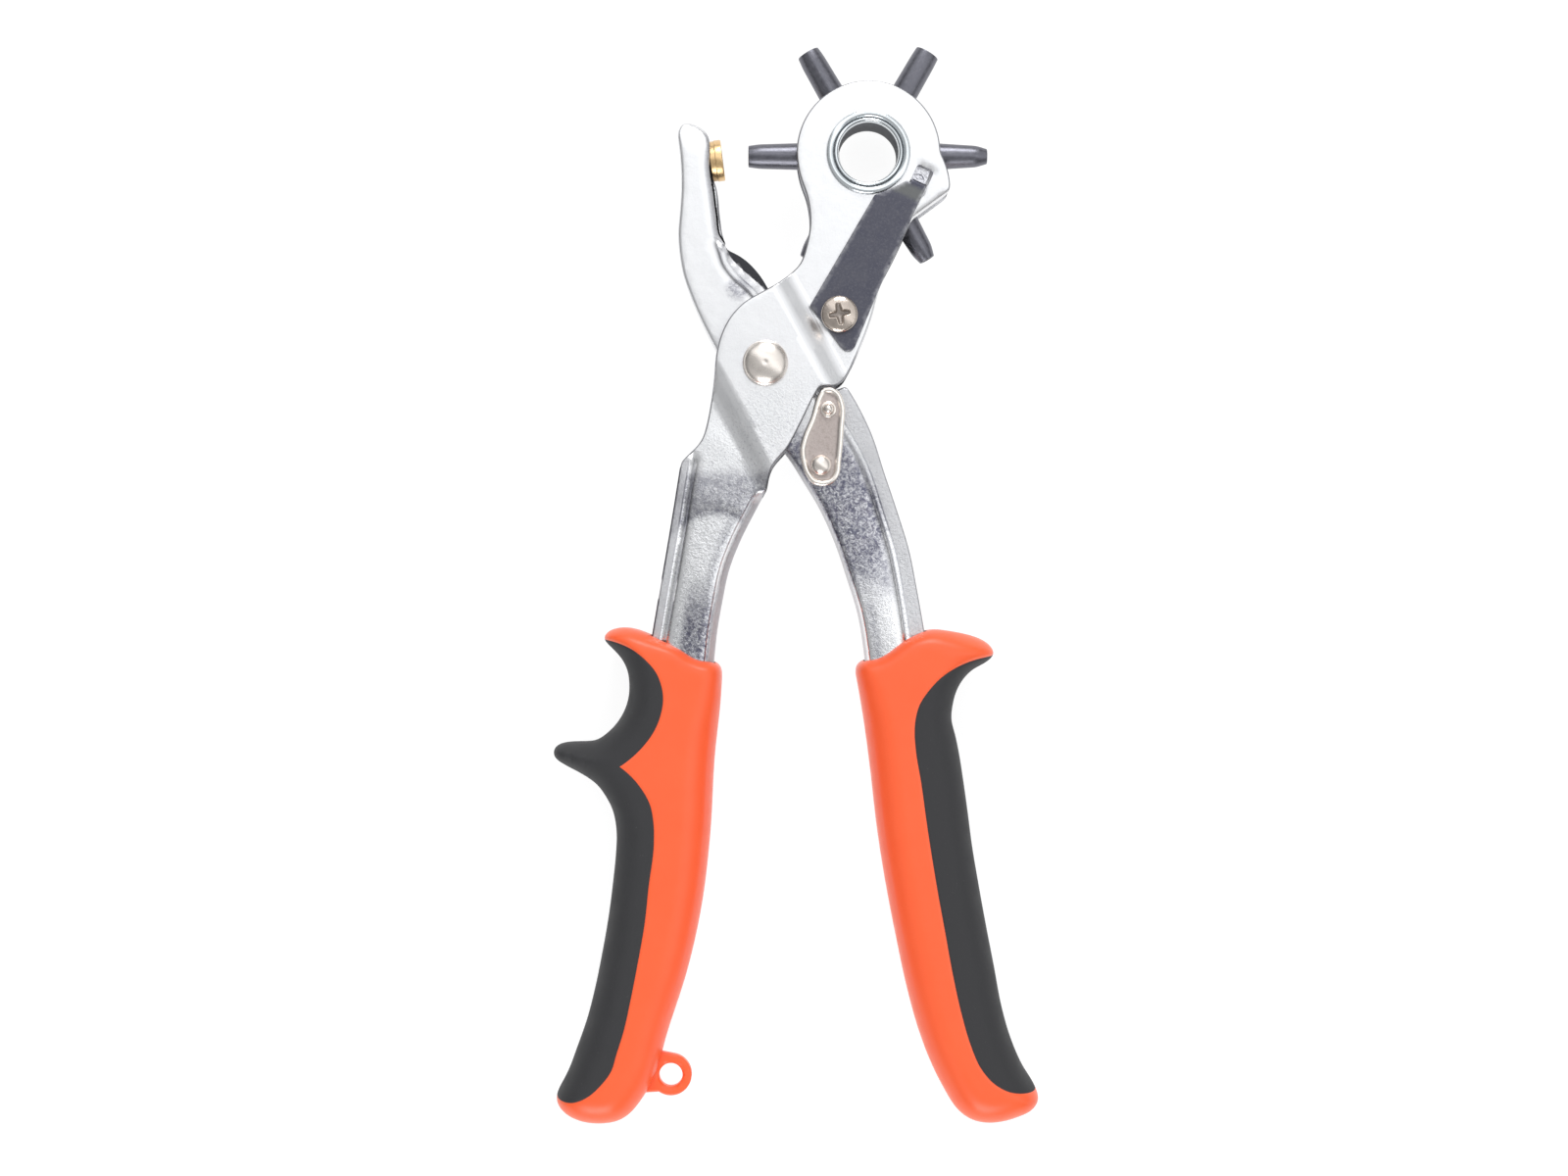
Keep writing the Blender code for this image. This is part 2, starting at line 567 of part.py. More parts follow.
def turret_ring():
    inner = HUB_R + GAP
    profile = [
        (inner, -TURRET_HALF), (inner, TURRET_HALF), (TURRET_R, TURRET_HALF), (TURRET_R, -TURRET_HALF)
    ]
    ring = turned("turret_ring", profile, HUB)
    detent = Vector(LEAF_BEND) - Vector(HUB)
    reach = detent + leaf_along() * (LEAF_TIP_REACH - LEAF / 2)
    start = math.atan2(reach.y, reach.x)
    for number, (_, _, angle) in enumerate(TUBES):
        turn = math.radians(angle)
        outward = (math.cos(turn), math.sin(turn), 0)
        wide, near, far = TUBE_STUB_R + GAP, HUB_R / 2, TURRET_R + 2
        bore = [(0, far), (wide, far), (wide, near), (0, near)]
        cut(ring, turned(f"turret_socket_{number}", bore, HUB, outward))
        at = start + turn
        spot = (HUB[0] + DETENT_CIRCLE_R * math.cos(at), HUB[1] + DETENT_CIRCLE_R * math.sin(at))
        hole(ring, f"turret_detent_{number}", spot, DETENT_R, TURRET_HALF - DETENT_DEEP, TURRET_HALF + 1)
    return ring


def punch_tube(cut_size, tip_size, angle):
    """A hollow tube: a stub in the turret, a straight body and a tapered cutting end."""
    name = f"punch_tube_{cut_size:.1f}mm".replace(".", "_")
    turn = math.radians(angle)
    bore = cut_size / 2
    base = TURRET_R + GAP
    taper = base + (TUBE_TIP_R - base) * TUBE_TAPER_AT
    body = TUBE_BASE_R + (tip_size / 2 - TUBE_BASE_R) * TUBE_BODY_PART
    profile = [
        (bore, TUBE_TIP_R), (tip_size / 2, TUBE_TIP_R), (body, taper), (TUBE_BASE_R, base),
        (TUBE_STUB_R, base), (TUBE_STUB_R, base - TUBE_STUB), (bore, base - TUBE_STUB)
    ]
    return turned(name, profile, HUB, (math.cos(turn), math.sin(turn), 0))


# ---------------------------------------------------------------- detent and latch


def leaf_along():
    return Vector((math.cos(LEAF_DIRECTION), math.sin(LEAF_DIRECTION)))


def detent_spring():
    low, high = LEAF_LOW, LEAF_LOW + LEAF
    leaf = prism("detent_spring", LEAF_EDGE, low, high)
    along = leaf_along()
    bend = Vector(LEAF_BEND)
    overlap = 0.8
    arm_size = (LEAF_TIP_WIDTH, LEAF_TIP_REACH + overlap)
    arm_centre = bend + along * (LEAF_TIP_REACH - overlap) / 2
    arm = block("detent_spring_arm", arm_centre, arm_size, LEAF_DIRECTION, low + 0.01, high - 0.01)
    tooth_centre = bend + along * (LEAF_TIP_REACH - LEAF / 2)
    tooth_size = (LEAF_TIP_WIDTH - 0.4, LEAF)
    tooth = block("detent_spring_tooth", tooth_centre, tooth_size, LEAF_DIRECTION, LEAF_TIP_LOW, high - 0.02)
    with_boolean(leaf, arm, "UNION")
    with_boolean(leaf, tooth, "UNION")
    hole(leaf, "detent_spring_hole", SCREW, SCREW_R + 2 * GAP, low - 1, high + 1)
    return leaf


def detent_screw():
    low = LEAF_LOW + LEAF + GAP
    high = low + SCREW_HEAD
    crown = dome(SCREW_HEAD_R, high - SCREW_CROWN, high, 3)
    profile = crown + [(SCREW_HEAD_R, low), (SCREW_R, low), (SCREW_R, SCREW_END), (0, SCREW_END)]
    screw = turned("detent_screw", profile, SCREW)
    for number in range(2):
        turn = math.radians(RECESS_TURN + 90 * number)
        cut(screw, block(f"detent_screw_recess_{number}", SCREW, RECESS, turn, high - RECESS_DEEP, high + 1))
    return screw


def latch_plate():
    low, high = LATCH_LOW, LATCH_LOW + LATCH
    plate = prism("latch_plate", joined(LATCH_EDGE), low, high, edge=0.3)
    hole(plate, "latch_plate_rivet_hole", LATCH_RIVET, LATCH_SHANK_R + GAP, low - 1, high + 1)
    hole(plate, "latch_plate_stud_hole", LATCH_STUD, STUD_SHANK_R + GAP, low - 1, high + 1)
    return plate


def latch_rivet():
    low = LATCH_LOW + LATCH + GAP
    inside = SKIN_IN - GAP
    end = inside - LATCH_INNER_HEAD
    profile = dome(LATCH_RIVET_R, low + HEAD_RIM, low + LATCH_RIVET_HEAD) + [
        (LATCH_RIVET_R, low), (LATCH_SHANK_R, low), (LATCH_SHANK_R, inside), (LATCH_INNER_HEAD_R, inside),
        (LATCH_INNER_HEAD_R, end), (0, end)
    ]
    return turned("latch_rivet", profile, LATCH_RIVET)


def latch_thumb_stud():
    low = LATCH_LOW + LATCH + GAP
    end = LATCH_LOW + STUD_CLEAR
    profile = dome(LATCH_STUD_R, low + HEAD_RIM, low + LATCH_STUD_HEAD) + [
        (LATCH_STUD_R, low), (STUD_SHANK_R, low), (STUD_SHANK_R, end), (0, end)
    ]
    return turned("latch_thumb_stud", profile, LATCH_STUD)


# ---------------------------------------------------------------- grips and return spring


def grip(side, silhouette, inlay_edge, far_side, lever_pocket):
    """A hard shell and the soft inlay let into its outer side, both cut from one rounded blank."""
    shell = prism(f"{side}_grip_shell", silhouette, -GRIP_HALF, GRIP_HALF, edge=GRIP_EDGE)
    inlay = prism(f"{side}_grip_inlay", silhouette, -GRIP_HALF, GRIP_HALF, edge=GRIP_EDGE)
    reach = GRIP_HALF + 1
    pocket = joined(moved_aside(inlay_edge, GAP), far_side)
    cut(shell, prism(f"{side}_grip_inlay_pocket", pocket, -reach, reach))
    blank = joined(inlay_edge, far_side)
    with_boolean(inlay, prism(f"{side}_grip_inlay_blank", blank, -reach, reach), "INTERSECT")
    cut(shell, prism(f"{side}_grip_lever_pocket", lever_pocket, -SKIN_OUT - GAP, SKIN_OUT + GAP))
    return shell, inlay


def left_grip():
    silhouette = joined(
        curve_through(LEFT_GRIP_TOP), curve_through(LEFT_GRIP_RIGHT), curve_through(LEFT_GRIP_LEFT)
    )
    inlay_edge = joined(curve_through(LEFT_INLAY_LOWER)[::-1], curve_through(LEFT_INLAY_UPPER)[::-1])
    inner = [p for p in curve_through(LEFT_HANDLE_INNER) if p[1] < -60]
    outer = curve_through(LEFT_HANDLE_OUTER) + LEFT_HANDLE_NARROWS
    pocket = joined(
        [(-11.4, -55.0)],
        moved_aside(inner, -GAP),
        [(-23.0, -150.0), (-30.0, -148.5)],
        moved_aside(outer, -GAP),
        [(-26.6, -63.5), (-26.6, -55.0)],
    )
    far_side = [(-BEYOND, LEFT_INLAY_UPPER[0][1]), (-BEYOND, LEFT_INLAY_LOWER[-1][1])]
    shell, inlay = grip("left", silhouette, inlay_edge, far_side, pocket)
    root = [(-27.5, -168.0), (-27.5, -157.7), (-23.6, -157.7)]
    tab = joined(arc(EYE, EYE_R, 75, -125), root)
    with_boolean(shell, prism("left_grip_eye", tab, -EYE_HALF, EYE_HALF), "UNION")
    hole(shell, "left_grip_eye_hole", EYE, EYE_HOLE_R, -EYE_HALF - 1, EYE_HALF + 1)
    return shell, inlay


def right_grip():
    silhouette = joined(curve_through(RIGHT_GRIP_TOP), curve_through(RIGHT_GRIP_RIGHT))
    inlay_edge = curve_through(RIGHT_INLAY_EDGE)
    outer = RIGHT_HANDLE_NARROWS + curve_through(RIGHT_HANDLE_END)
    inner = [p for p in curve_through(RIGHT_HANDLE_INNER) if p[1] < -60]
    pocket = joined(
        [(37.1, -55.0), (37.1, -63.2)],
        moved_aside(outer, -GAP),
        [(43.0, -148.5), (35.8, -150.4)],
        moved_aside(inner, -GAP),
        [(21.0, -55.0)],
    )
    far_side = [(BEYOND, RIGHT_INLAY_EDGE[-1][1]), (BEYOND, RIGHT_INLAY_EDGE[0][1])]
    return grip("right", silhouette, inlay_edge, far_side, pocket)


def return_spring():
    """A torsion spring round the rivet, with one leg in the jaw and one in the neck."""
    count = round(SPRING_TURNS * 14)
    half_height = SPRING_TURNS * SPRING_PITCH / 2
    points = [(-15.4, 20.2, half_height), (-9.0, 8.6, half_height)]
    for k in range(count + 1):
        part = k / count
        a = math.pi - math.tau * SPRING_TURNS * part
        points.append((SPRING_R * math.cos(a), SPRING_R * math.sin(a), half_height * (1 - 2 * part)))
    points += [(9.0, 3.4, -half_height), (20.4, 10.3, -half_height)]
    curve = bpy.data.curves.new("return_spring", "CURVE")
    curve.dimensions = "3D"
    curve.bevel_depth = WIRE_R * MM
    curve.bevel_resolution = 2
    curve.use_fill_caps = True
    spline = curve.splines.new("POLY")
    spline.points.add(len(points) - 1)
    for point, (x, y, z) in zip(spline.points, points):
        point.co = (x * MM, y * MM, (z + REST_HEIGHT) * MM, 1)
    made = bpy.data.objects.new("return_spring", curve)
    bpy.context.collection.objects.link(made)
    return made


# ---------------------------------------------------------------- assembly


def on_axis(name, point, height, pieces):
    """An empty on a joint's axis, with the pieces that turn about it as its children."""
    axis = bpy.data.objects.new(name, None)
    axis.location = Vector((point[0], point[1], height + REST_HEIGHT)) * MM
    bpy.context.collection.objects.link(axis)
    for piece in pieces:
        piece.parent = axis
        piece.matrix_parent_inverse = Matrix.Translation(-axis.location)
    return axis


def paint(finish, *pieces):
    for piece in pieces:
        piece.data.materials.append(finish)


def main():
    clear_scene()
    wheel = wheel_lever()
    anvil_side = anvil_lever()
    pad = anvil_pad()
    rivet = pivot_rivet()
    hub = hub_sleeve()
    ring = turret_ring()
    tubes = [punch_tube(*tube) for tube in TUBES]
    leaf = detent_spring()
    screw = detent_screw()
    plate = latch_plate()
    plate_rivet = latch_rivet()
    stud = latch_thumb_stud()
    left_shell, left_inlay = left_grip()
    right_shell, right_inlay = right_grip()
    spring = return_spring()

    paint(material("bright_zinc", STEEL, 1.0, 0.25), wheel, anvil_side, ring)
    paint(material("nickel", NICKEL, 1.0, 0.3), rivet, screw, plate, plate_rivet, stud)
    paint(material("hub_zinc", STEEL, 1.0, 0.3), hub)
    paint(material("black_oxide", BLACK_OXIDE, 0.7, 0.4), *tubes)
    paint(material("blackened_spring", LEAF_GREY, 0.6, 0.45), leaf, spring)
    paint(material("brass", BRASS, 1.0, 0.3), pad)
    paint(material("orange_grip", ORANGE, 0.0, 0.45), left_shell, right_shell)
    paint(material("soft_grip", CHARCOAL, 0.0, 0.7), left_inlay, right_inlay)

    turret_axis = on_axis("turret_axis", HUB, 0, [ring, *tubes])
    leaf_axis = on_axis("leaf_axis", SCREW, LEAF_LOW + LEAF / 2, [leaf])
    latch_axis = on_axis("latch_axis", LATCH_RIVET, LATCH_LOW, [plate, stud])
    lever_axis = on_axis("lever_axis", PIVOT, 0, [anvil_side, pad, right_shell, right_inlay, plate_rivet])
    latch_axis.parent = lever_axis
    latch_axis.matrix_parent_inverse = Matrix.Translation(-lever_axis.location)
    for axis in (turret_axis, leaf_axis):
        axis.parent = wheel
    bpy.context.view_layer.update()


main()
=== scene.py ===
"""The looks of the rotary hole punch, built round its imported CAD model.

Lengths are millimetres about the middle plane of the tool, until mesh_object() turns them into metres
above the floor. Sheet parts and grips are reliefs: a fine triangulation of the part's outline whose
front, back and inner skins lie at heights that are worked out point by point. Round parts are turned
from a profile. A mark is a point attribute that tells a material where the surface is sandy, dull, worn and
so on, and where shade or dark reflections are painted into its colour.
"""

import json
import math

import bpy
import numpy as np
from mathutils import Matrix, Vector
from mathutils.geometry import delaunay_2d_cdt
from mathutils.kdtree import KDTree

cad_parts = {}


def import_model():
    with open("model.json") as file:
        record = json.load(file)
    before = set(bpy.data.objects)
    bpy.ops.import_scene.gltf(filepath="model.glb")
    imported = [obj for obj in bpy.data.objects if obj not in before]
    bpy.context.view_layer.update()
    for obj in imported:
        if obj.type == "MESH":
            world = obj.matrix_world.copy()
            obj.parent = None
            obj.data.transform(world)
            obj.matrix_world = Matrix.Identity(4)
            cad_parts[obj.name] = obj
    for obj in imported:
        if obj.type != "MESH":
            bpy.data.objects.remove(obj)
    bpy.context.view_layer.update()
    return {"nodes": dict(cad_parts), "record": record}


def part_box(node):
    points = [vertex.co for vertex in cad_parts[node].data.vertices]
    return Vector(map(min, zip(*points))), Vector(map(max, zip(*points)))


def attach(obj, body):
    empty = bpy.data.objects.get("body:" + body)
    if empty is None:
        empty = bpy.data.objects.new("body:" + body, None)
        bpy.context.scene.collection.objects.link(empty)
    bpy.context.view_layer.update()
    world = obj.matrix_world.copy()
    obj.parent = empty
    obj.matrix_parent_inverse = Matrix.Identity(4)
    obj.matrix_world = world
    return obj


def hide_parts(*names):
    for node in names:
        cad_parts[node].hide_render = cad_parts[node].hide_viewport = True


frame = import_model()

MM = 0.001
JOINT = {joint["name"]: np.array(joint["pos_m"]) / MM for joint in frame["record"]["behaviour"]["joints"]}
MIDDLE = JOINT["lever_hinge"][2]
FINE = 0.6  # spacing of the points along an edge
FAR = 90.0  # well outside the outline, for the open sides of pockets and channels
GAP = 0.3  # between pieces that rest on each other on the real tool


def low(node):
    """Lowest height of a CAD node about the middle plane."""
    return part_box(node)[0].z / MM - MIDDLE


def high(node):
    """Greatest height of a CAD node about the middle plane."""
    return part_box(node)[1].z / MM - MIDDLE


# Sheet metal, with the heights taken from the CAD pieces.
SHEET = 2.0
SKIN_OUT = high("anvil_lever_channel")
SKIN_IN = SKIN_OUT - SHEET
STEP_RISE = high("wheel_lever_channel") - SKIN_OUT
STEP_ANGLE = math.radians(27.7)
STEP_ACROSS = (-14.0, -10.0, 10.4, 14.75)  # where the two slopes of the raised joint zone begin and end
STEP_SOFT = 0.45
OPEN_EDGE = 0.45
FOLDED_EDGE = 0.9
HEAD_FOLD_EDGE = 1.5
SPRING_RELIEF = 1.3  # how much thinner the anvil lever's web is beside the return spring

# Centres of the round pieces.
PIVOT = JOINT["lever_hinge"][:2]
HUB = JOINT["turret_spin"][:2]
SCREW = JOINT["detent_lift"][:2]
LATCH_RIVET = JOINT["latch_swing"][:2]
LATCH_STUD = np.array([14.4, -10.5])
HEAD_R = 16.5
HUB_HOLE_R = 8.2
TURRET_R = 14.8
TUBE_END = 27.6
# For each punch tube: the size it cuts, the width of its tip and its angle round the turret.
TUBES = ((2.0, 3.2, 0), (4.5, 5.4, 60), (4.0, 5.0, 120), (3.5, 4.7, 180), (3.0, 4.0, 240), (2.5, 3.4, 300))
LEAF_BEND = np.array([34.6, 40.2])
LEAF_DIRECTION = math.radians(65)
LEAF_REACH = 1.9  # from the bend to the end of the tip
LEAF_TOOTH = 4.2  # height at which the tip ends, inside the slot
SLOT = (4.2, 6.7)
SLOT_FROM_BEND = 2.05
EYE = (-21.9, -163.8)
EYE_R = 4.8
EYE_HOLE_R = 2.7
EYE_HALF = 1.5
GRIP_HALF = 10.0
GRIP_EDGE = 6.5
GRIP_MOUTH_EDGE = 1.3

# Wheel lever: each list is one smooth stretch of the edge, clockwise from the head.
NECK_LEFT = [
    (2.0, 17.8), (5.5, 20.5), (7.8, 22.8), (9.4, 27.3), (10.2, 32.5), (9.6, 38.0), (7.8, 43.4),
    (7.1, 48.0)
]
HEAD_CORNER = [(40.1, 48.5), (42.3, 41.8), (42.4, 40.4), (41.4, 38.9)]
HEAD_FOLD = [(41.4, 38.9), (33.6, 33.2)]
NECK_RIGHT = [(33.6, 33.2), (30.1, 25.7), (26.4, 18.1), (24.6, 11.3), (21.4, 2.9), (17.8, -4.0)]
LATCH_LEDGE = [(16.1, -5.2), (12.5, -5.1)]
CHEEK_RIGHT = [(12.5, -5.1), (11.4, -6.9), (7.8, -14.1), (5.0, -19.3), (1.3, -24.0), (0.4, -28.3)]
LEFT_HANDLE_INNER = [
    (0.4, -28.3), (-2.4, -33.6), (-6.1, -41.0), (-8.4, -47.0), (-10.0, -54.4), (-11.2, -61.3),
    (-11.9, -67.8), (-12.6, -77.0), (-13.8, -90.5), (-14.8, -108.0), (-16.8, -124.0), (-20.0, -139.0),
    (-22.8, -149.0)
]
LEFT_HANDLE_OUTER = [
    (-29.4, -147.0), (-27.2, -137.0), (-25.6, -128.0), (-23.4, -109.5), (-21.6, -90.0), (-21.4, -76.0)
]
LEFT_HANDLE_NARROWS = [(-23.2, -70.0), (-26.3, -63.5)]
LEFT_BAND_EDGE = [(-26.3, -63.5), (-24.6, -53.6), (-21.9, -37.8), (-19.4, -22.3)]
CHEEK_LEFT = [
    (-16.3, -19.5), (-14.5, -17.1), (-13.5, -13.9), (-12.7, -9.9), (-11.8, -3.7), (-11.2, 2.3),
    (-10.2, 6.3), (-8.2, 10.3), (-5.0, 13.8), (-1.0, 16.2), (2.0, 17.8)
]
# CHEEK_SHADE carries a painted shadow: the dark mark along it darkens the sheet under the cheek's lower
# edge.
CHEEK_SHADE = [(4.3, -20.6), (0.9, -25.3), (0.1, -28.6)]  # a dark line under the cheek's lower edge
NECK_WEB_TOP = 20.4
NECK_WEB_END = 1.2
HANDLE_WEB_TOP = -30.5

# Anvil lever, clockwise from the jaw tip.
JAW_TIP = [
    (-20.1, 51.5), (-19.8, 54.3), (-18.8, 55.5), (-16.9, 55.4), (-14.7, 54.4), (-13.4, 53.1),
    (-12.9, 51.8)
]
JAW_RIGHT = [(-12.1, 42.6), (-11.6, 41.6), (-10.8, 35.9), (-9.7, 29.1), (-9.1, 27.4)]
JAW_CROTCH_REAR = [(-9.1, 27.4), (-5.5, 25.6), (-2.1, 22.4), (0.6, 18.2)]
JAW_CROTCH_FRONT = [(-9.3, 27.6), (-8.2, 24.9), (-5.5, 22.0), (-0.6, 17.6), (1.2, 15.6)]
UNDER_CHEEK = [(13.7, -1.4), (14.6, -5.8), (16.4, -5.9), (18.5, -4.9)]
RIGHT_HANDLE_OUTER = [
    (18.5, -4.9), (24.1, -15.3), (27.5, -25.4), (30.3, -33.7), (33.1, -42.9), (34.9, -52.1), (36.8, -63.0)
]
RIGHT_HANDLE_NARROWS = [(33.5, -72.0), (32.0, -80.0)]
RIGHT_HANDLE_END = [
    (32.0, -80.0), (32.2, -88.0), (33.4, -96.0), (34.9, -106.0), (37.2, -120.0), (39.0, -130.0),
    (41.4, -142.0), (42.6, -147.0)
]
RIGHT_HANDLE_INNER = [
    (36.0, -149.0), (34.3, -141.5), (32.1, -131.8), (30.0, -121.0), (27.7, -106.5), (26.2, -93.4),
    (24.8, -84.0), (23.6, -75.0), (22.9, -67.7), (21.1, -56.7), (18.8, -49.3), (16.0, -41.0),
    (12.3, -32.8), (8.7, -26.8), (5.0, -21.0), (0.6, -15.9), (-4.8, -9.6), (-9.2, -2.5), (-11.3, 3.1),
    (-13.6, 7.5), (-16.2, 13.1), (-17.5, 16.3), (-19.0, 20.8), (-19.8, 25.5), (-20.1, 29.6),
    (-19.7, 35.1), (-19.4, 39.5), (-19.4, 43.8), (-20.1, 51.5)
]
JAW_CAP_LOW = 41.0
JAW_CAP_LINE = [(-20.5, 51.1), (-13.0, 45.8)]
ANVIL_SHOULDER = [
    (-13.4, 60.0), (-13.7, 50.9), (-14.0, 45.1), (-13.3, 39.6), (-12.6, 34.2), (-11.8, 29.3),
    (-10.2, 26.6), (-9.1, 23.3), (-6.9, 20.3), (-3.7, 17.4), (9.5, -4.0), (14.5, -9.5), (18.7, -15.4),
    (22.9, -23.2), (26.5, -33.7), (29.3, -42.9), (31.1, -52.1), (32.7, -63.0)
]

LEAF_EDGE = [
    (10.2, 13.3), (17.4, 3.5), (18.5, 2.8), (19.7, 2.9), (20.5, 3.9), (27.4, 20.4), (32.8, 31.8),
    (36.0, 39.6)
]
LEAF_SHOULDER = [(33.2, 40.9), (32.4, 41.9), (29.3, 40.3), (25.0, 38.6)]
LEAF_TIP_WIDTH = 3.7
LATCH_EDGE = [
    (12.9, -5.6), (15.6, -5.6), (16.9, -6.6), (18.0, -9.2), (17.9, -15.1), (17.3, -22.4), (16.9, -25.3),
    (15.4, -27.4), (13.2, -28.0), (10.9, -27.5), (9.1, -25.3), (8.1, -22.0), (7.9, -19.8), (8.6, -16.6),
    (10.3, -12.5), (12.0, -7.2), (12.9, -5.6)
]

# Grips: the outer edge of each, and the line where the soft inlay meets the shell.
LEFT_GRIP_TOP = [
    (-37.5, -63.4), (-37.4, -62.4), (-36.5, -61.4), (-35.0, -60.7), (-32.6, -60.4), (-30.1, -60.8),
    (-26.7, -62.1), (-23.6, -63.5), (-19.4, -65.6), (-16.3, -67.6), (-14.2, -68.2), (-12.1, -68.3),
    (-10.6, -69.2), (-10.1, -70.8)
]
LEFT_GRIP_RIGHT = [
    (-10.1, -70.8), (-10.4, -76.7), (-11.8, -90.5), (-12.8, -107.9), (-14.7, -124.1), (-17.9, -138.9),
    (-22.3, -152.7), (-27.1, -167.0), (-29.2, -170.2), (-31.5, -172.8), (-33.8, -174.2), (-36.6, -174.8),
    (-40.3, -174.8), (-44.0, -173.9), (-47.2, -171.7), (-48.4, -169.4), (-48.1, -167.4)
]
LEFT_GRIP_LEFT = [
    (-48.1, -167.4), (-45.5, -162.6), (-43.6, -157.5), (-41.3, -151.0), (-39.5, -144.1), (-37.8, -135.8),
    (-36.2, -126.6), (-35.3, -119.5), (-34.6, -112.6), (-34.4, -108.2), (-34.7, -105.1), (-35.4, -102.3),
    (-36.8, -99.6), (-38.9, -96.7), (-42.0, -94.5), (-46.8, -91.9), (-48.8, -90.5), (-49.1, -88.8),
    (-48.2, -87.6), (-46.1, -87.0), (-42.0, -86.8), (-39.2, -86.6), (-36.8, -85.0), (-34.4, -82.6),
    (-32.5, -79.4), (-31.6, -76.3), (-31.5, -73.2), (-31.9, -70.4), (-33.0, -68.0), (-35.1, -65.6),
    (-37.5, -63.4)
]
LEFT_INLAY_UPPER = [
    (-40.5, -62.9), (-36.9, -63.2), (-33.9, -63.9), (-30.4, -65.4), (-27.0, -68.1), (-25.0, -70.5),
    (-23.8, -73.3), (-23.3, -76.3), (-23.8, -80.1), (-25.3, -83.9), (-27.7, -87.3), (-30.4, -90.0),
    (-33.2, -92.1)
]
LEFT_INLAY_LOWER = [
    (-33.2, -92.1), (-31.1, -93.8), (-28.4, -96.9), (-26.3, -100.7), (-25.5, -104.8), (-25.4, -109.5),
    (-26.6, -119.5), (-27.5, -127.8), (-29.1, -137.0), (-30.7, -145.2), (-32.3, -152.4), (-33.9, -157.5),
    (-35.2, -161.6), (-37.5, -164.7), (-40.7, -167.5), (-44.3, -168.9), (-50.5, -167.0)
]
RIGHT_GRIP_TOP = [
    (21.0, -71.9), (20.9, -69.6), (21.9, -68.3), (23.5, -67.9), (25.5, -67.7), (27.9, -66.4),
    (32.1, -63.3), (36.6, -61.3), (38.8, -60.9), (42.6, -61.3), (47.1, -62.2), (50.1, -63.3),
    (52.3, -65.1), (52.9, -66.2), (52.6, -67.1)
]
RIGHT_GRIP_RIGHT = [
    (52.6, -67.1), (50.5, -68.8), (47.9, -70.1), (45.6, -72.4), (44.1, -75.0), (43.2, -78.4),
    (42.9, -81.8), (43.8, -85.2), (44.7, -89.6), (45.6, -95.3), (46.8, -103.9), (47.6, -110.2),
    (49.2, -119.8), (51.0, -129.7), (52.7, -138.4), (54.6, -148.4), (56.6, -155.3), (59.2, -161.4),
    (62.6, -167.3), (63.1, -169.4), (62.1, -171.2), (57.8, -173.5), (53.5, -174.6), (49.6, -174.6),
    (46.5, -173.5), (44.0, -171.4), (41.4, -167.3), (38.3, -161.2), (35.3, -153.3), (32.7, -143.9),
    (30.1, -131.8), (28.0, -121.0), (25.7, -106.5), (24.2, -93.4), (22.7, -82.1), (21.0, -71.9)
]
RIGHT_INLAY_EDGE = [
    (56.0, -66.2), (52.6, -66.8), (47.6, -67.9), (43.6, -69.5), (40.2, -71.7), (37.3, -74.7),
    (35.1, -78.1), (34.2, -81.4), (34.0, -84.0), (34.3, -88.5), (35.5, -95.8), (36.9, -105.9),
    (39.2, -120.2), (41.0, -130.1), (42.7, -139.4), (44.8, -148.8), (46.7, -155.3), (49.1, -160.8),
    (52.1, -164.3), (55.5, -166.2), (58.9, -166.8), (65.5, -166.0)
]


# ---------------------------------------------------------------- lines


def lengths(vectors):
    return np.linalg.norm(vectors, axis=1)


def direction(angle):
    return np.array([math.cos(angle), math.sin(angle)])


def right_of(along):
    return np.array([along[1], -along[0]])


def curve_through(points, step=FINE):
    """Points along a smooth curve through the given ones. Two points stay a straight line."""
    p = np.array(points, float)
    if len(p) < 3:
        return p
    length = lengths(np.diff(p, axis=0))
    slope = np.diff(p, axis=0) / length[:, None]
    tangent = np.zeros_like(p)
    before, after = length[:-1, None], length[1:, None]
    tangent[1:-1] = (slope[:-1] * after + slope[1:] * before) / (before + after)
    tangent[0] = slope[0] * 2 - tangent[1]
    tangent[-1] = slope[-1] * 2 - tangent[-2]
    found = []
    for i, h in enumerate(length):
        count = max(1, round(h / step))
        t = (np.arange(count) / count)[:, None]
        found.append(
            p[i] * (2 * t**3 - 3 * t**2 + 1)
            + tangent[i] * h * (t**3 - 2 * t**2 + t)
            + p[i + 1] * (3 * t**2 - 2 * t**3)
            + tangent[i + 1] * h * (t**3 - t**2)
        )
    return np.vstack(found + [p[-1:]])


def arc(centre, radius, start, end, step=2.0):
    """Points on an arc, with angles in degrees."""
    count = max(2, round(abs(end - start) / step))
    angles = np.radians(np.linspace(start, end, count + 1))
    return np.array(centre) + radius * np.column_stack([np.cos(angles), np.sin(angles)])


def circle(centre, radius, sides=96):
    return arc(centre, radius, 0, 360, 360 / sides)[:-1]


def joined(*stretches):
    """One closed outline from stretches that meet end to end."""
    points = np.vstack([np.array(stretch, float) for stretch in stretches])
    gap = lengths(points - np.roll(points, 1, axis=0))
    return points[gap > 0.05]


def divided(outline, step=FINE):
    """A closed outline with its long straight sides divided."""
    found = []
    for a, b in zip(outline, np.roll(outline, -1, axis=0)):
        count = max(1, round(np.linalg.norm(b - a) / step))
        found.append(a + (b - a) * (np.arange(count) / count)[:, None])
    return np.vstack(found)


def eased(outline, turns):
    """A closed outline of evenly spaced points with its small kinks smoothed away."""
    for _ in range(turns):
        outline = outline / 2 + (np.roll(outline, 1, axis=0) + np.roll(outline, -1, axis=0)) / 4
    return outline


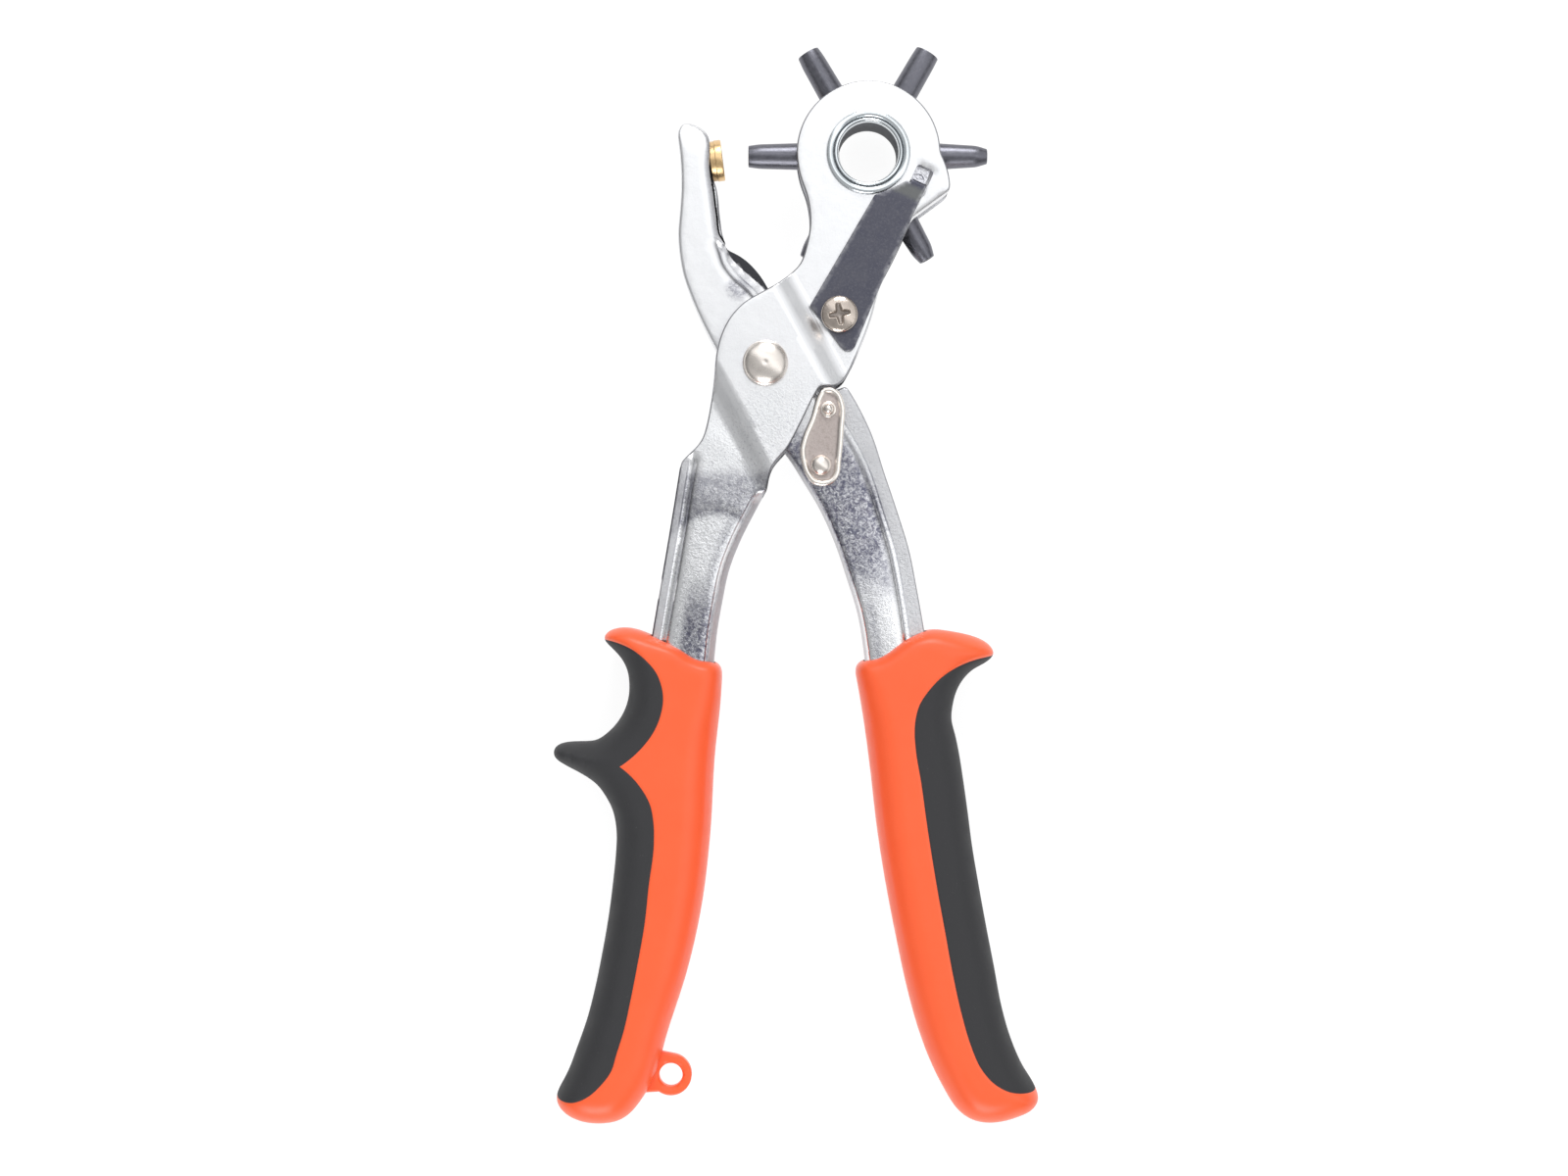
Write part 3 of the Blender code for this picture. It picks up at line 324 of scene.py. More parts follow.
def soft_corner(before, corner, after, radius):
    """A short curve in place of a corner, beginning this far from it on both sides."""
    start = corner + (before - corner) * min(0.5, radius / np.linalg.norm(before - corner))
    end = corner + (after - corner) * min(0.5, radius / np.linalg.norm(after - corner))
    t = np.linspace(0, 1, 6)[:, None]
    return start * (1 - t) ** 2 + corner * 2 * t * (1 - t) + end * t**2


def softened(outline, radius):
    """A closed outline with all its corners softened."""
    before, after = np.roll(outline, 1, axis=0), np.roll(outline, -1, axis=0)
    return np.vstack([soft_corner(*corner, radius) for corner in zip(before, outline, after)])


def moved_aside(line, distance):
    """The line moved to its right-hand side, seen along its own direction."""
    along = np.gradient(np.array(line, float), axis=0)
    along /= lengths(along)[:, None]
    return np.array(line) + np.column_stack([along[:, 1], -along[:, 0]]) * distance


def box_outline(centre, size, turn, radius):
    """A box with round corners, and its length along the direction turn."""
    along = direction(turn)
    across = right_of(along)
    corners = [(-1, -1), (-1, 1), (1, 1), (1, -1)]
    outline = [centre + across * a * size[0] / 2 + along * b * size[1] / 2 for a, b in corners]
    return divided(softened(np.array(outline), radius), FINE / 2)


def nearest(points, line, closed=False):
    """From each point to a line: the distance, the side (+1 is to its right) and the place along it."""
    ends = np.roll(line, -1, axis=0) if closed else line[1:]
    best = np.full(len(points), np.inf)
    side = np.zeros(len(points))
    place = np.zeros(len(points))
    for i, (a, b) in enumerate(zip(line, ends)):
        along = b - a
        t = np.clip((points - a) @ along / max(along @ along, 1e-9), 0, 1)
        gap = points - a - t[:, None] * along
        distance = (gap**2).sum(axis=1)
        closer = distance < best
        best[closer] = distance[closer]
        place[closer] = i + t[closer]
        side[closer] = np.sign(along[1] * gap[closer, 0] - along[0] * gap[closer, 1])
    return np.sqrt(best), side, place


def inside(points, outline):
    """Which points lie within a closed outline."""
    x, y = points[:, 0], points[:, 1]
    found = np.zeros(len(points), bool)
    for (ax, ay), (bx, by) in zip(outline, np.roll(outline, -1, axis=0)):
        if ay != by:
            crosses = (ay > y) != (by > y)
            found ^= crosses & (x < ax + (y - ay) * (bx - ax) / (by - ay))
    return found


def smooth(start, end, value):
    """From 0 at start to 1 at end, level at both."""
    t = np.clip((value - start) / (end - start), 0, 1)
    return t * t * (3 - 2 * t)


def rounded(depth, radius, drop=None):
    """How far a rounded edge lies below the flat, at this depth in from the outline."""
    drop = radius if drop is None else drop
    return drop * (1 - np.sqrt(1 - np.clip(1 - depth / radius, 0, 1) ** 2))


def blend(start, end, part):
    return start * (1 - part) + end * part


def blurred(values, reach):
    """A running mean round a closed line."""
    return np.mean([np.roll(values, k) for k in range(-reach, reach + 1)], axis=0)


def bell(distance, width):
    """1 on a line, and falling away on both sides of it."""
    return np.exp(-((distance / width) ** 2))


def profile_height(across, stations):
    """The height at a distance across a profile, from (distance, height) stations."""
    return np.interp(across, *zip(*stations))


def signed_area(outline):
    """Twice the area of a closed outline, positive when it runs anticlockwise."""
    x, y = outline.T
    return np.sum(x * np.roll(y, -1) - np.roll(x, -1) * y)


def moved_inward(outline, depth):
    wrapped = np.vstack([outline[-1:], outline, outline[:1]])
    return moved_aside(wrapped, -math.copysign(depth, signed_area(outline)))[1:-1]


# ---------------------------------------------------------------- reliefs


class Plan:
    """A fine triangulation of an outline. depth is how far each point lies in from the edge, and radius
    is the width over which the edge is rounded there. An even plan has no creases in either. Loops become
    edges of the triangulation, and rows are lines along which it is finer."""

    def __init__(self, outline, radius, loops=(), rows=(), grid=1.0, rings=6, even=False):
        if signed_area(outline) < 0:
            outline, radius = outline[::-1], radius[::-1]
        self.outline = outline
        loops = [divided(loop) for loop in loops]
        points = [self._rings(radius, rings)]
        points += [self._inside_edge(row, 0.25) for row in rows]
        points.append(self._grid(radius, [*rows, *loops], grid))
        verts = [Vector(p) for p in np.vstack(points)]
        edges = []
        for loop in [outline, *loops]:
            first = len(verts)
            verts += [Vector(p) for p in loop]
            edges += [(first + i, first + (i + 1) % len(loop)) for i in range(len(loop))]
        made = delaunay_2d_cdt(verts, edges, [], 0, 1e-4)
        self.points = np.array([tuple(v) for v in made[0]])
        triangles = np.array(made[2])
        centre = self.points[triangles].mean(axis=1)
        kept = inside(centre, outline)
        self.triangles = triangles[kept]
        self.centre = centre[kept]
        self.depth, _, place = nearest(self.points, outline, closed=True)
        first = place.astype(int) % len(outline)
        part = place - place.astype(int)
        self.radius = radius[first] * (1 - part) + radius[(first + 1) % len(outline)] * part
        if even:
            self._even_out(outline, radius)

    def _even_out(self, outline, radius):
        """Depth and radius felt from the whole outline at once, each stretch by its distance to the power
        -6. Beside a long straight edge these pulls add up to 3/8 pi / depth**5."""
        share = lengths(np.roll(outline, -1, axis=0) - np.roll(outline, 1, axis=0)) / 2
        across = self.points[:, :1] - outline[:, 0]
        up = self.points[:, 1:2] - outline[:, 1]
        pull = share / np.maximum(across**2 + up**2, 0.01) ** 3
        total = pull.sum(axis=1)
        felt = (total / (math.pi * 3 / 8)) ** -0.2
        self.radius = pull @ radius / total
        self.depth = blend(self.depth, felt, smooth(0.5, 2.0, self.depth))

    def _inside_edge(self, points, depth):
        """The points that lie at least this deep."""
        deep = nearest(points, self.outline, closed=True)[0] >= depth
        return points[inside(points, self.outline) & deep]

    def _rings(self, radius, rings):
        """Points on lines inside the outline, closer together where the rounding is steep."""
        along = np.roll(self.outline, -1, axis=0) - np.roll(self.outline, 1, axis=0)
        along /= lengths(along)[:, None]
        inward = np.column_stack([-along[:, 1], along[:, 0]])
        found = []
        for k in range(1, rings + 1):
            depth = radius * (1 - math.cos(math.pi / 2 * k / rings))
            found.append(self._inside_edge(self.outline + inward * depth[:, None], depth * 0.97))
        return np.vstack(found)

    def _grid(self, radius, lines, grid):
        """Points of a triangular grid, away from the rounded edge and from the lines."""
        (left, bottom), (right, top) = self.outline.min(axis=0), self.outline.max(axis=0)
        x, y = np.meshgrid(np.arange(left, right, grid), np.arange(bottom, top, grid * math.sqrt(3) / 2))
        x = x + (np.arange(len(x))[:, None] % 2) * grid / 2
        points = np.column_stack([x.ravel(), y.ravel()])
        points = points[inside(points, self.outline)]
        depth, _, place = nearest(points, self.outline, closed=True)
        points = points[depth > radius[place.astype(int) % len(radius)] + 0.45 * grid]
        if lines:
            near = np.vstack([divided(line, grid / 2) if len(line) > 1 else line for line in lines])
            tree = KDTree(len(near))
            for i, p in enumerate(near):
                tree.insert((*p, 0), i)
            tree.balance()
            points = np.array([p for p in points if tree.find((*p, 0))[2] > 0.5 * grid])
        return points

    def relaxed(self, height, weight, turns):
        """Heights made smoother, each point moving towards its neighbours' mean by this weight."""
        ahead, back = self.triangles.ravel(), self.triangles[:, [1, 2, 0]].ravel()
        start, end = np.concatenate([ahead, back]), np.concatenate([back, ahead])
        count = np.bincount(start, minlength=len(self.points))
        for _ in range(turns):
            total = np.bincount(start, height[end], len(self.points))
            mean = np.where(count > 0, total / np.maximum(count, 1), height)
            height = height + (mean - height) * weight
        return height

    def solid(self, name, back, front, inner=None, kept=True, hollow=False, window=False, **marks):
        """One closed mesh of three layers between four levels: back, the two inner skins, and front. A
        triangle that isn't kept has no layer, a hollow one lacks the middle layer, and a window has only
        the back one."""
        thin = np.minimum(0.3, (front - back) / 3)
        lower, upper = inner or (back, front)
        levels = [back, np.maximum(lower, back + thin), np.minimum(upper, front - thin), front]
        layers = np.where(kept, np.where(hollow, np.where(window, 0b001, 0b101), 0b111), 0)
        layers = np.broadcast_to(layers, len(self.triangles))
        back_layer, middle, front_layer = (layers >> k & 1 == 1 for k in range(3))
        total = len(self.points)
        skins = (
            (3, front_layer, True), (0, back_layer, False), (2, front_layer & ~middle, False),
            (1, back_layer & ~middle, True)
        )
        faces = []
        for level, shown, upward in skins:
            found = self.triangles[shown] + level * total
            faces += (found if upward else found[:, ::-1]).tolist()
        owner = {}
        for (a, b, c), held in zip(self.triangles.tolist(), layers.tolist()):
            if held:
                owner[a, b] = owner[b, c] = owner[c, a] = held
        for (a, b), held in owner.items():
            bare = held & ~owner.get((b, a), 0)
            for k in range(3):
                if bare >> k & 1:
                    foot = k * total
                    faces.append([a + foot, b + foot, b + foot + total, a + foot + total])
        used = np.unique(np.concatenate([np.array(face) for face in faces]))
        renamed = np.zeros(4 * total, int)
        renamed[used] = np.arange(len(used))
        spots = np.vstack([np.column_stack([self.points, level]) for level in levels])[used]
        faces = [renamed[face].tolist() for face in faces]
        repeated = {mark: np.tile(values, 4)[used] for mark, values in marks.items()}
        return mesh_object(name, spots, faces, **repeated)


def mesh_object(name, spots, faces, smooth_under=38.0, **marks):
    """An object from points in millimetres about the middle plane, with marks as point attributes."""
    mesh = bpy.data.meshes.new(name)
    mesh.from_pydata(((spots + (0, 0, MIDDLE)) * MM).tolist(), [], faces)
    for mark, values in marks.items():
        layer = mesh.attributes.new(mark, "FLOAT", "POINT")
        layer.data.foreach_set("value", np.array(values, np.float32))
    mesh.shade_smooth()
    mesh.set_sharp_from_angle(angle=math.radians(smooth_under))
    made = bpy.data.objects.new(name, mesh)
    bpy.context.collection.objects.link(made)
    return made


def turned(name, profile, centre, along=(0, 0, 1), sides=96, **rules):
    """A round piece from (radius, distance along the axis, corner radius) points. They run clockwise when
    the axis points up on their left. A profile that starts off the axis is closed, as for a tube. Each rule
    gives a mark from the radius and the distance."""
    flat = np.array([point[:2] for point in profile], float)
    closed = profile[0][0] > 0
    line = []
    for i, (radius, distance, *soft) in enumerate(profile):
        if soft and (closed or 0 < i < len(profile) - 1):
            line += soft_corner(flat[i - 1], flat[i], flat[(i + 1) % len(flat)], soft[0]).tolist()
        else:
            line.append((radius, distance))
    line = [point for point, before in zip(line, line[-1:] + line[:-1]) if math.dist(point, before) > 1e-4]
    spots, rings = [], []
    round_it = np.arange(sides + 1) % sides
    for radius, distance in line:
        on_axis = radius < 1e-6
        rings.append((len(spots) + round_it * (not on_axis)).tolist())
        for turn in [0.0] if on_axis else np.arange(sides) * math.tau / sides:
            spots.append((radius * math.cos(turn), radius * math.sin(turn), distance))
    faces = []
    for one, other in zip(rings, rings[1:] + rings[:closed]):
        faces += [list(dict.fromkeys(corners)) for corners in zip(one[1:], one, other, other[1:])]
    spots = np.array(spots)
    marks = {mark: rule(lengths(spots[:, :2]), spots[:, 2]) for mark, rule in rules.items()}
    turn = Vector((0, 0, 1)).rotation_difference(Vector(along)).to_matrix()
    return mesh_object(name, spots @ np.array(turn).T + (*centre, 0.0), faces, 32.0, **marks)


def dome(radius, foot, top):
    """Profile points of a round head, from its crown out to its rim at height foot."""
    steps = 14
    angles = [math.pi / 2 * (1 - k / steps) for k in range(steps + 1)]
    points = [(radius * math.cos(a), foot + (top - foot) * math.sin(a)) for a in angles]
    points[0] = (0, top)
    return points


# ---------------------------------------------------------------- finishes


class Nodes:
    """Short ways to add nodes to a node tree. A source is a socket or a constant."""

    def __init__(self, tree):
        self.tree = tree

    def node(self, kind, *sources, **settings):
        made = self.tree.nodes.new("ShaderNode" + kind)
        for key, value in settings.items():
            setattr(made, key, value)
        for socket, source in zip(made.inputs, sources):
            self.feed(socket, source)
        return made

    def feed(self, socket, source):
        if isinstance(source, bpy.types.NodeSocket):
            self.tree.links.new(source, socket)
        else:
            socket.default_value = source

    def maths(self, operation, *sources):
        return self.node("Math", *sources, operation=operation).outputs[0]

    def times(self, a, b):
        return self.maths("MULTIPLY", a, b)

    def span(self, source, low_in, high_in, low_out=0.0, high_out=1.0, **settings):
        """The source mapped from one range to another."""
        return self.node("MapRange", source, low_in, high_in, low_out, high_out, **settings).outputs[0]

    def curve(self, source, stops):
        """A value that follows these (from, to) stops, level at each."""
        total = stops[0][1]
        for (low_in, low_out), (high_in, high_out) in zip(stops, stops[1:]):
            rise = high_out - low_out
            change = self.span(source, low_in, high_in, 0.0, rise, interpolation_type="SMOOTHSTEP")
            total = self.maths("ADD", total, change)
        return total


class Finish(Nodes):
    """A Principled material whose colour, roughness and bump come from nodes in object coordinates."""

    def __init__(self, name, **constants):
        self.material = bpy.data.materials.new(name)
        self.material.use_nodes = True
        super().__init__(self.material.node_tree)
        self.shader = self.tree.nodes["Principled BSDF"]
        for socket, value in constants.items():
            self.shader.inputs[socket.replace("_", " ")].default_value = value
        self.place = self.node("TexCoord").outputs["Object"]

    def stretched(self, scale, turn):
        """Object coordinates, turned about the vertical and then scaled along each axis."""
        mapping = self.node("Mapping", self.place, vector_type="TEXTURE")
        mapping.inputs["Rotation"].default_value = (0, 0, turn)
        mapping.inputs["Scale"].default_value = scale
        return mapping.outputs[0]

    def noise(self, size, detail=3.0, rough=0.55, distortion=0.0, place=None):
        """Noise from 0 to 1, with features of this size in millimetres."""
        made = self.node("TexNoise", place or self.place)
        settings = {"Scale": 1 / (size * MM), "Detail": detail, "Roughness": rough, "Distortion": distortion}
        for socket, value in settings.items():
            made.inputs[socket].default_value = value
        return made.outputs["Fac"]

    def mark(self, name):
        return self.node("Attribute", attribute_name=name).outputs["Fac"]

    def mix(self, factor, a, b):
        """Two colours mixed. The Mix node takes colours in its seventh and eighth sockets."""
        made = self.node("Mix", factor, data_type="RGBA")
        self.feed(made.inputs[6], a)
        self.feed(made.inputs[7], b)
        return made.outputs[2]

    def mix_value(self, factor, a, b):
        made = self.node("Mix", factor)
        self.feed(made.inputs[2], a)
        self.feed(made.inputs[3], b)
        return made.outputs[0]

    def bump(self, height, depth, under=None):
        """A bumpy normal, with its depth in millimetres."""
        made = self.node("Bump")
        made.inputs["Distance"].default_value = depth * MM
        self.feed(made.inputs["Height"], height)
        if under is not None:
            self.feed(made.inputs["Normal"], under)
        return made.outputs[0]

    def use(self, colour, roughness=None, normal=None):
        for socket, source in (("Base Color", colour), ("Roughness", roughness), ("Normal", normal)):
            if source is not None:
                self.feed(self.shader.inputs[socket], source)
        return self.material

    def dull_where_dark(self):
        """Metal everywhere except where the dark mark paints shade."""
        self.feed(self.shader.inputs["Metallic"], self.maths("SUBTRACT", 1.0, self.mark("dark")))


def zinc_sheet():
    """Bright zinc plate: satin at the joint, mirror-like on the handles and dull on the rough flanks, with
    blotchy blue-grey dark reflections painted into its colour on the handles and by the joint."""
    f = Finish("zinc_sheet", Metallic=1.0)
    sandy, steep, dull, mirror = f.mark("sandy"), f.mark("edge"), f.mark("dull"), f.mark("mirror")
    clouds = f.noise(7.0, 3)
    grain = f.noise(0.55, 3, 0.7)
    speck = f.span(f.noise(0.6, 3, 0.7), 0.55, 0.68, 0, 0.6)
    base = f.mix(clouds, (0.80, 0.805, 0.82, 1), (0.90, 0.90, 0.91, 1))
    base = f.mix(f.times(speck, sandy), base, (0.44, 0.44, 0.48, 1))
    # Painted reflection: where the mark is, the colour turns a blotchy dark blue-grey, standing in for the
    # dark surroundings that the mirror-like handles reflect.
    blotch = f.span(f.noise(1.0, 5, 0.85, 0.8), 0.42, 0.6, 1.12, 0.35)
    blotchy_darkening = f.maths("MINIMUM", f.times(f.mark("blotchy_darkening"), blotch), 1.0)
    burnt = f.mix(f.noise(3.0, 3, 0.6, 0.8), (0.07, 0.08, 0.13, 1), (0.20, 0.19, 0.24, 1))
    base = f.mix(blotchy_darkening, base, burnt)
    # Painted shade: the steep rounded open edges are darkened in colour, standing in for the dark horizon
    # they reflect.
    base = f.mix(steep, base, (0.32, 0.32, 0.34, 1))
    base = f.mix(dull, base, f.mix(grain, (0.36, 0.36, 0.38, 1), (0.66, 0.66, 0.68, 1)))
    # Painted shade: near black where the dark mark is, under the cheek's lower edge, in the gap beside the
    # jaw and behind the notch.
    base = f.mix(f.mark("dark"), base, (0.03, 0.03, 0.04, 1))
    rough = f.mix_value(mirror, f.span(clouds, 0.3, 0.7, 0.28, 0.36), f.span(clouds, 0.3, 0.7, 0.11, 0.18))
    rough = f.mix_value(dull, rough, 0.5)
    f.dull_where_dark()
    swell = f.bump(f.noise(4.0, 1), 0.03)
    depth = f.maths("ADD", f.maths("ADD", 0.15, f.times(sandy, 0.85)), dull)
    return f.use(base, rough, f.bump(f.times(grain, depth), 0.07, swell))


def plated(name, light, dark, rough=(0.2, 0.34), grain=0.5, depth=0.01):
    """Turned and plated steel with faint scuffs, and painted shade where the dark mark is."""
    f = Finish(name, Metallic=1.0)
    clouds = f.noise(2.5, 4)
    scuffs = f.span(f.noise(1.4, 5, 0.75, 1.5), 0.58, 0.7)
    base = f.mix(clouds, dark, light)
    base = f.mix(f.times(scuffs, 0.35), base, dark)
    # Painted shade: near black, rough and not metallic where the dark mark is.
    base = f.mix(f.times(f.mark("dark"), 0.9), base, (0.06, 0.06, 0.07, 1))
    f.dull_where_dark()
    rough = f.mix_value(f.mark("dark"), f.span(clouds, 0.3, 0.7, *rough), 0.8)
    return f.use(base, rough, f.bump(f.noise(grain, 2), depth))


def latch_nickel():
    """Warm nickel with a sandy field inside a smooth raised rim."""
    f = Finish("latch_nickel", Metallic=1.0)
    field = f.mark("sandy")
    grain = f.noise(0.6, 3, 0.7)
    speck = f.times(f.span(grain, 0.52, 0.7, 0, 0.7), field)
    base = f.mix(field, (0.92, 0.86, 0.80, 1), (0.52, 0.455, 0.43, 1))
    base = f.mix(speck, base, (0.36, 0.30, 0.27, 1))
    rough = f.span(field, 0, 1, 0.22, 0.42)
    return f.use(base, rough, f.bump(f.times(grain, f.maths("ADD", field, 0.1)), 0.05))


def blued_leaf():
    """Blued spring steel: dull, mottled, bright where the edge is worn and olive near the bend."""
    f = Finish("blued_leaf", Metallic=1.0)
    patches = f.noise(4.5, 4, 0.6, 0.6)
    grain = f.noise(0.5, 4, 0.75)
    rubbed = f.times(f.mark("edge"), f.span(f.noise(2.0, 3), 0.35, 0.6))
    base = f.mix(patches, (0.070, 0.072, 0.100, 1), (0.135, 0.135, 0.158, 1))
    base = f.mix(f.span(grain, 0.5, 0.7, 0, 0.4), base, (0.20, 0.20, 0.22, 1))
    base = f.mix(f.times(f.mark("worn"), 0.7), base, (0.17, 0.175, 0.165, 1))
    base = f.mix(f.times(rubbed, 0.7), base, (0.50, 0.50, 0.52, 1))
    return f.use(base, f.span(patches, 0.3, 0.7, 0.36, 0.48), f.bump(grain, 0.02))


def black_oxide(name, turn):
    """Blackened tube steel, brushed along the tube."""
    f = Finish(name, Metallic=1.0)
    lines = f.noise(0.22, 2, 0.6, place=f.stretched((9, 1, 1), turn))
    mottle = f.noise(0.9, 3, 0.7)
    base = f.mix(mottle, (0.11, 0.11, 0.13, 1), (0.22, 0.22, 0.25, 1))
    base = f.mix(f.span(lines, 0.6, 0.75, 0, 0.5), base, (0.3, 0.3, 0.33, 1))
    return f.use(base, f.span(mottle, 0.3, 0.7, 0.28, 0.42), f.bump(lines, 0.015))


def turned_brass():
    f = Finish("turned_brass", Metallic=1.0)
    mottle = f.noise(0.8, 4)
    blotchy_darkening = f.span(f.noise(1.6, 4, 0.7, 1.0), 0.5, 0.7)
    base = f.mix(mottle, (0.74, 0.50, 0.25, 1), (0.84, 0.60, 0.33, 1))
    base = f.mix(f.times(blotchy_darkening, 0.25), base, (0.42, 0.26, 0.10, 1))
    return f.use(base, f.span(mottle, 0.3, 0.7, 0.26, 0.34), f.bump(f.noise(0.4, 2), 0.004))


def orange_plastic():
    f = Finish("orange_plastic", Specular_IOR_Level=0.45)
    clouds = f.noise(9.0, 3)
    base = f.mix(clouds, (1.0, 0.122, 0.034, 1), (1.0, 0.142, 0.044, 1))
    rough = f.span(f.noise(3.0, 3), 0.3, 0.7, 0.32, 0.40)
    return f.use(base, rough, f.bump(f.noise(0.45, 2), 0.01, f.bump(f.noise(6.0, 1), 0.05)))


def soft_overmould():
    f = Finish("soft_overmould", Specular_IOR_Level=0.35)
    clouds = f.noise(5.0, 3)
    dust = f.span(f.noise(0.7, 2, 0.8), 0.70, 0.76, 0, 0.25)
    base = f.mix(clouds, (0.030, 0.030, 0.032, 1), (0.040, 0.040, 0.043, 1))
    base = f.mix(dust, base, (0.14, 0.14, 0.145, 1))
    return f.use(base, f.span(clouds, 0.3, 0.7, 0.58, 0.72), f.bump(f.noise(0.3, 3, 0.7), 0.02))


# ---------------------------------------------------------------- sheet levers


def step_height(points):
    """How far the raised joint zone stands outside the flat of the lever, with its creases softened."""
    rise_start, rise_end, fall_start, fall_end = STEP_ACROSS
    knots = [place + offset for place in STEP_ACROSS for offset in (-STEP_SOFT, STEP_SOFT)]
    rise = STEP_SOFT / (rise_end - rise_start)
    fall = STEP_SOFT / (fall_end - fall_start)
    heights = [0, rise, 1 - rise, 1, 1, 1 - fall, fall, 0]
    return STEP_RISE * np.interp(points @ direction(STEP_ANGLE), knots, heights)


def step_rows():
    """Rows of points along the creases of the joint zone."""
    normal = direction(STEP_ANGLE)
    crease = -right_of(normal) * np.arange(-60, 60, 0.7)[:, None]
    offsets = (-STEP_SOFT, -0.15, 0.15, STEP_SOFT)
    return [normal * (across + offset) + crease for across in STEP_ACROSS for offset in offsets]


def edge_radius(outline, *folded, radius=FOLDED_EDGE, reach=4):
    """The rounding of each outline point: wide along the folded stretches, and small elsewhere."""
    found = np.full(len(outline), OPEN_EDGE)
    for stretch in folded:
        found[nearest(outline, stretch)[0] < 0.1] = radius
    return blurred(found, reach)


# Profiles as (distance, height) stations. A flank is the folded inner edge of a handle, from the outline
# inward: rough below, and bright where it bends into the front. A shoulder is the ridge along the outer
# side of a lever, with the lower band outside it.
LEFT_FLANK = (
    (0.0, -5.2), (0.15, -4.3), (1.25, -2.35), (1.4, -2.3), (1.5, -2.05), (1.6, -1.55), (1.75, -0.95),
    (1.95, -0.45), (2.2, -0.12), (2.5, 0.0)
)
RIGHT_FLANK = (
    (0.0, -4.6), (0.12, -3.6), (0.45, -2.2), (0.55, -1.6), (0.7, -0.95), (0.9, -0.45), (1.15, -0.12),
    (1.5, 0.0)
)
LEFT_SHOULDER = (
    (0.0, -1.25), (1.65, -1.25), (1.85, -1.5), (2.05, -1.6), (2.75, -1.6), (2.95, -1.45), (3.15, -1.15),
    (3.5, -0.6), (3.9, -0.22), (4.4, -0.04), (5.0, 0.0)
)
RIGHT_SHOULDER = (
    (-2.4, 0.0), (-1.8, -0.05), (-1.2, -0.28), (-0.7, -0.75), (-0.4, -1.3), (-0.25, -1.6), (0.35, -1.6),
    (0.5, -1.45), (0.7, -1.25), (4.0, -1.25)
)
# Beside the jaw the front flange ends in a dull strip, and the rear flange shows behind a narrow gap.
JAW_GAP = (1.18, 1.55)
JAW_SHOULDER = (
    (-1.0, 0.0), (-0.5, -0.03), (0.0, -0.1), (0.5, -0.22), (1.0, -0.5), (1.15, -1.2), (1.2, -4.0),
    (1.5, -4.0), (1.58, -2.2), (4.0, -2.3)
)


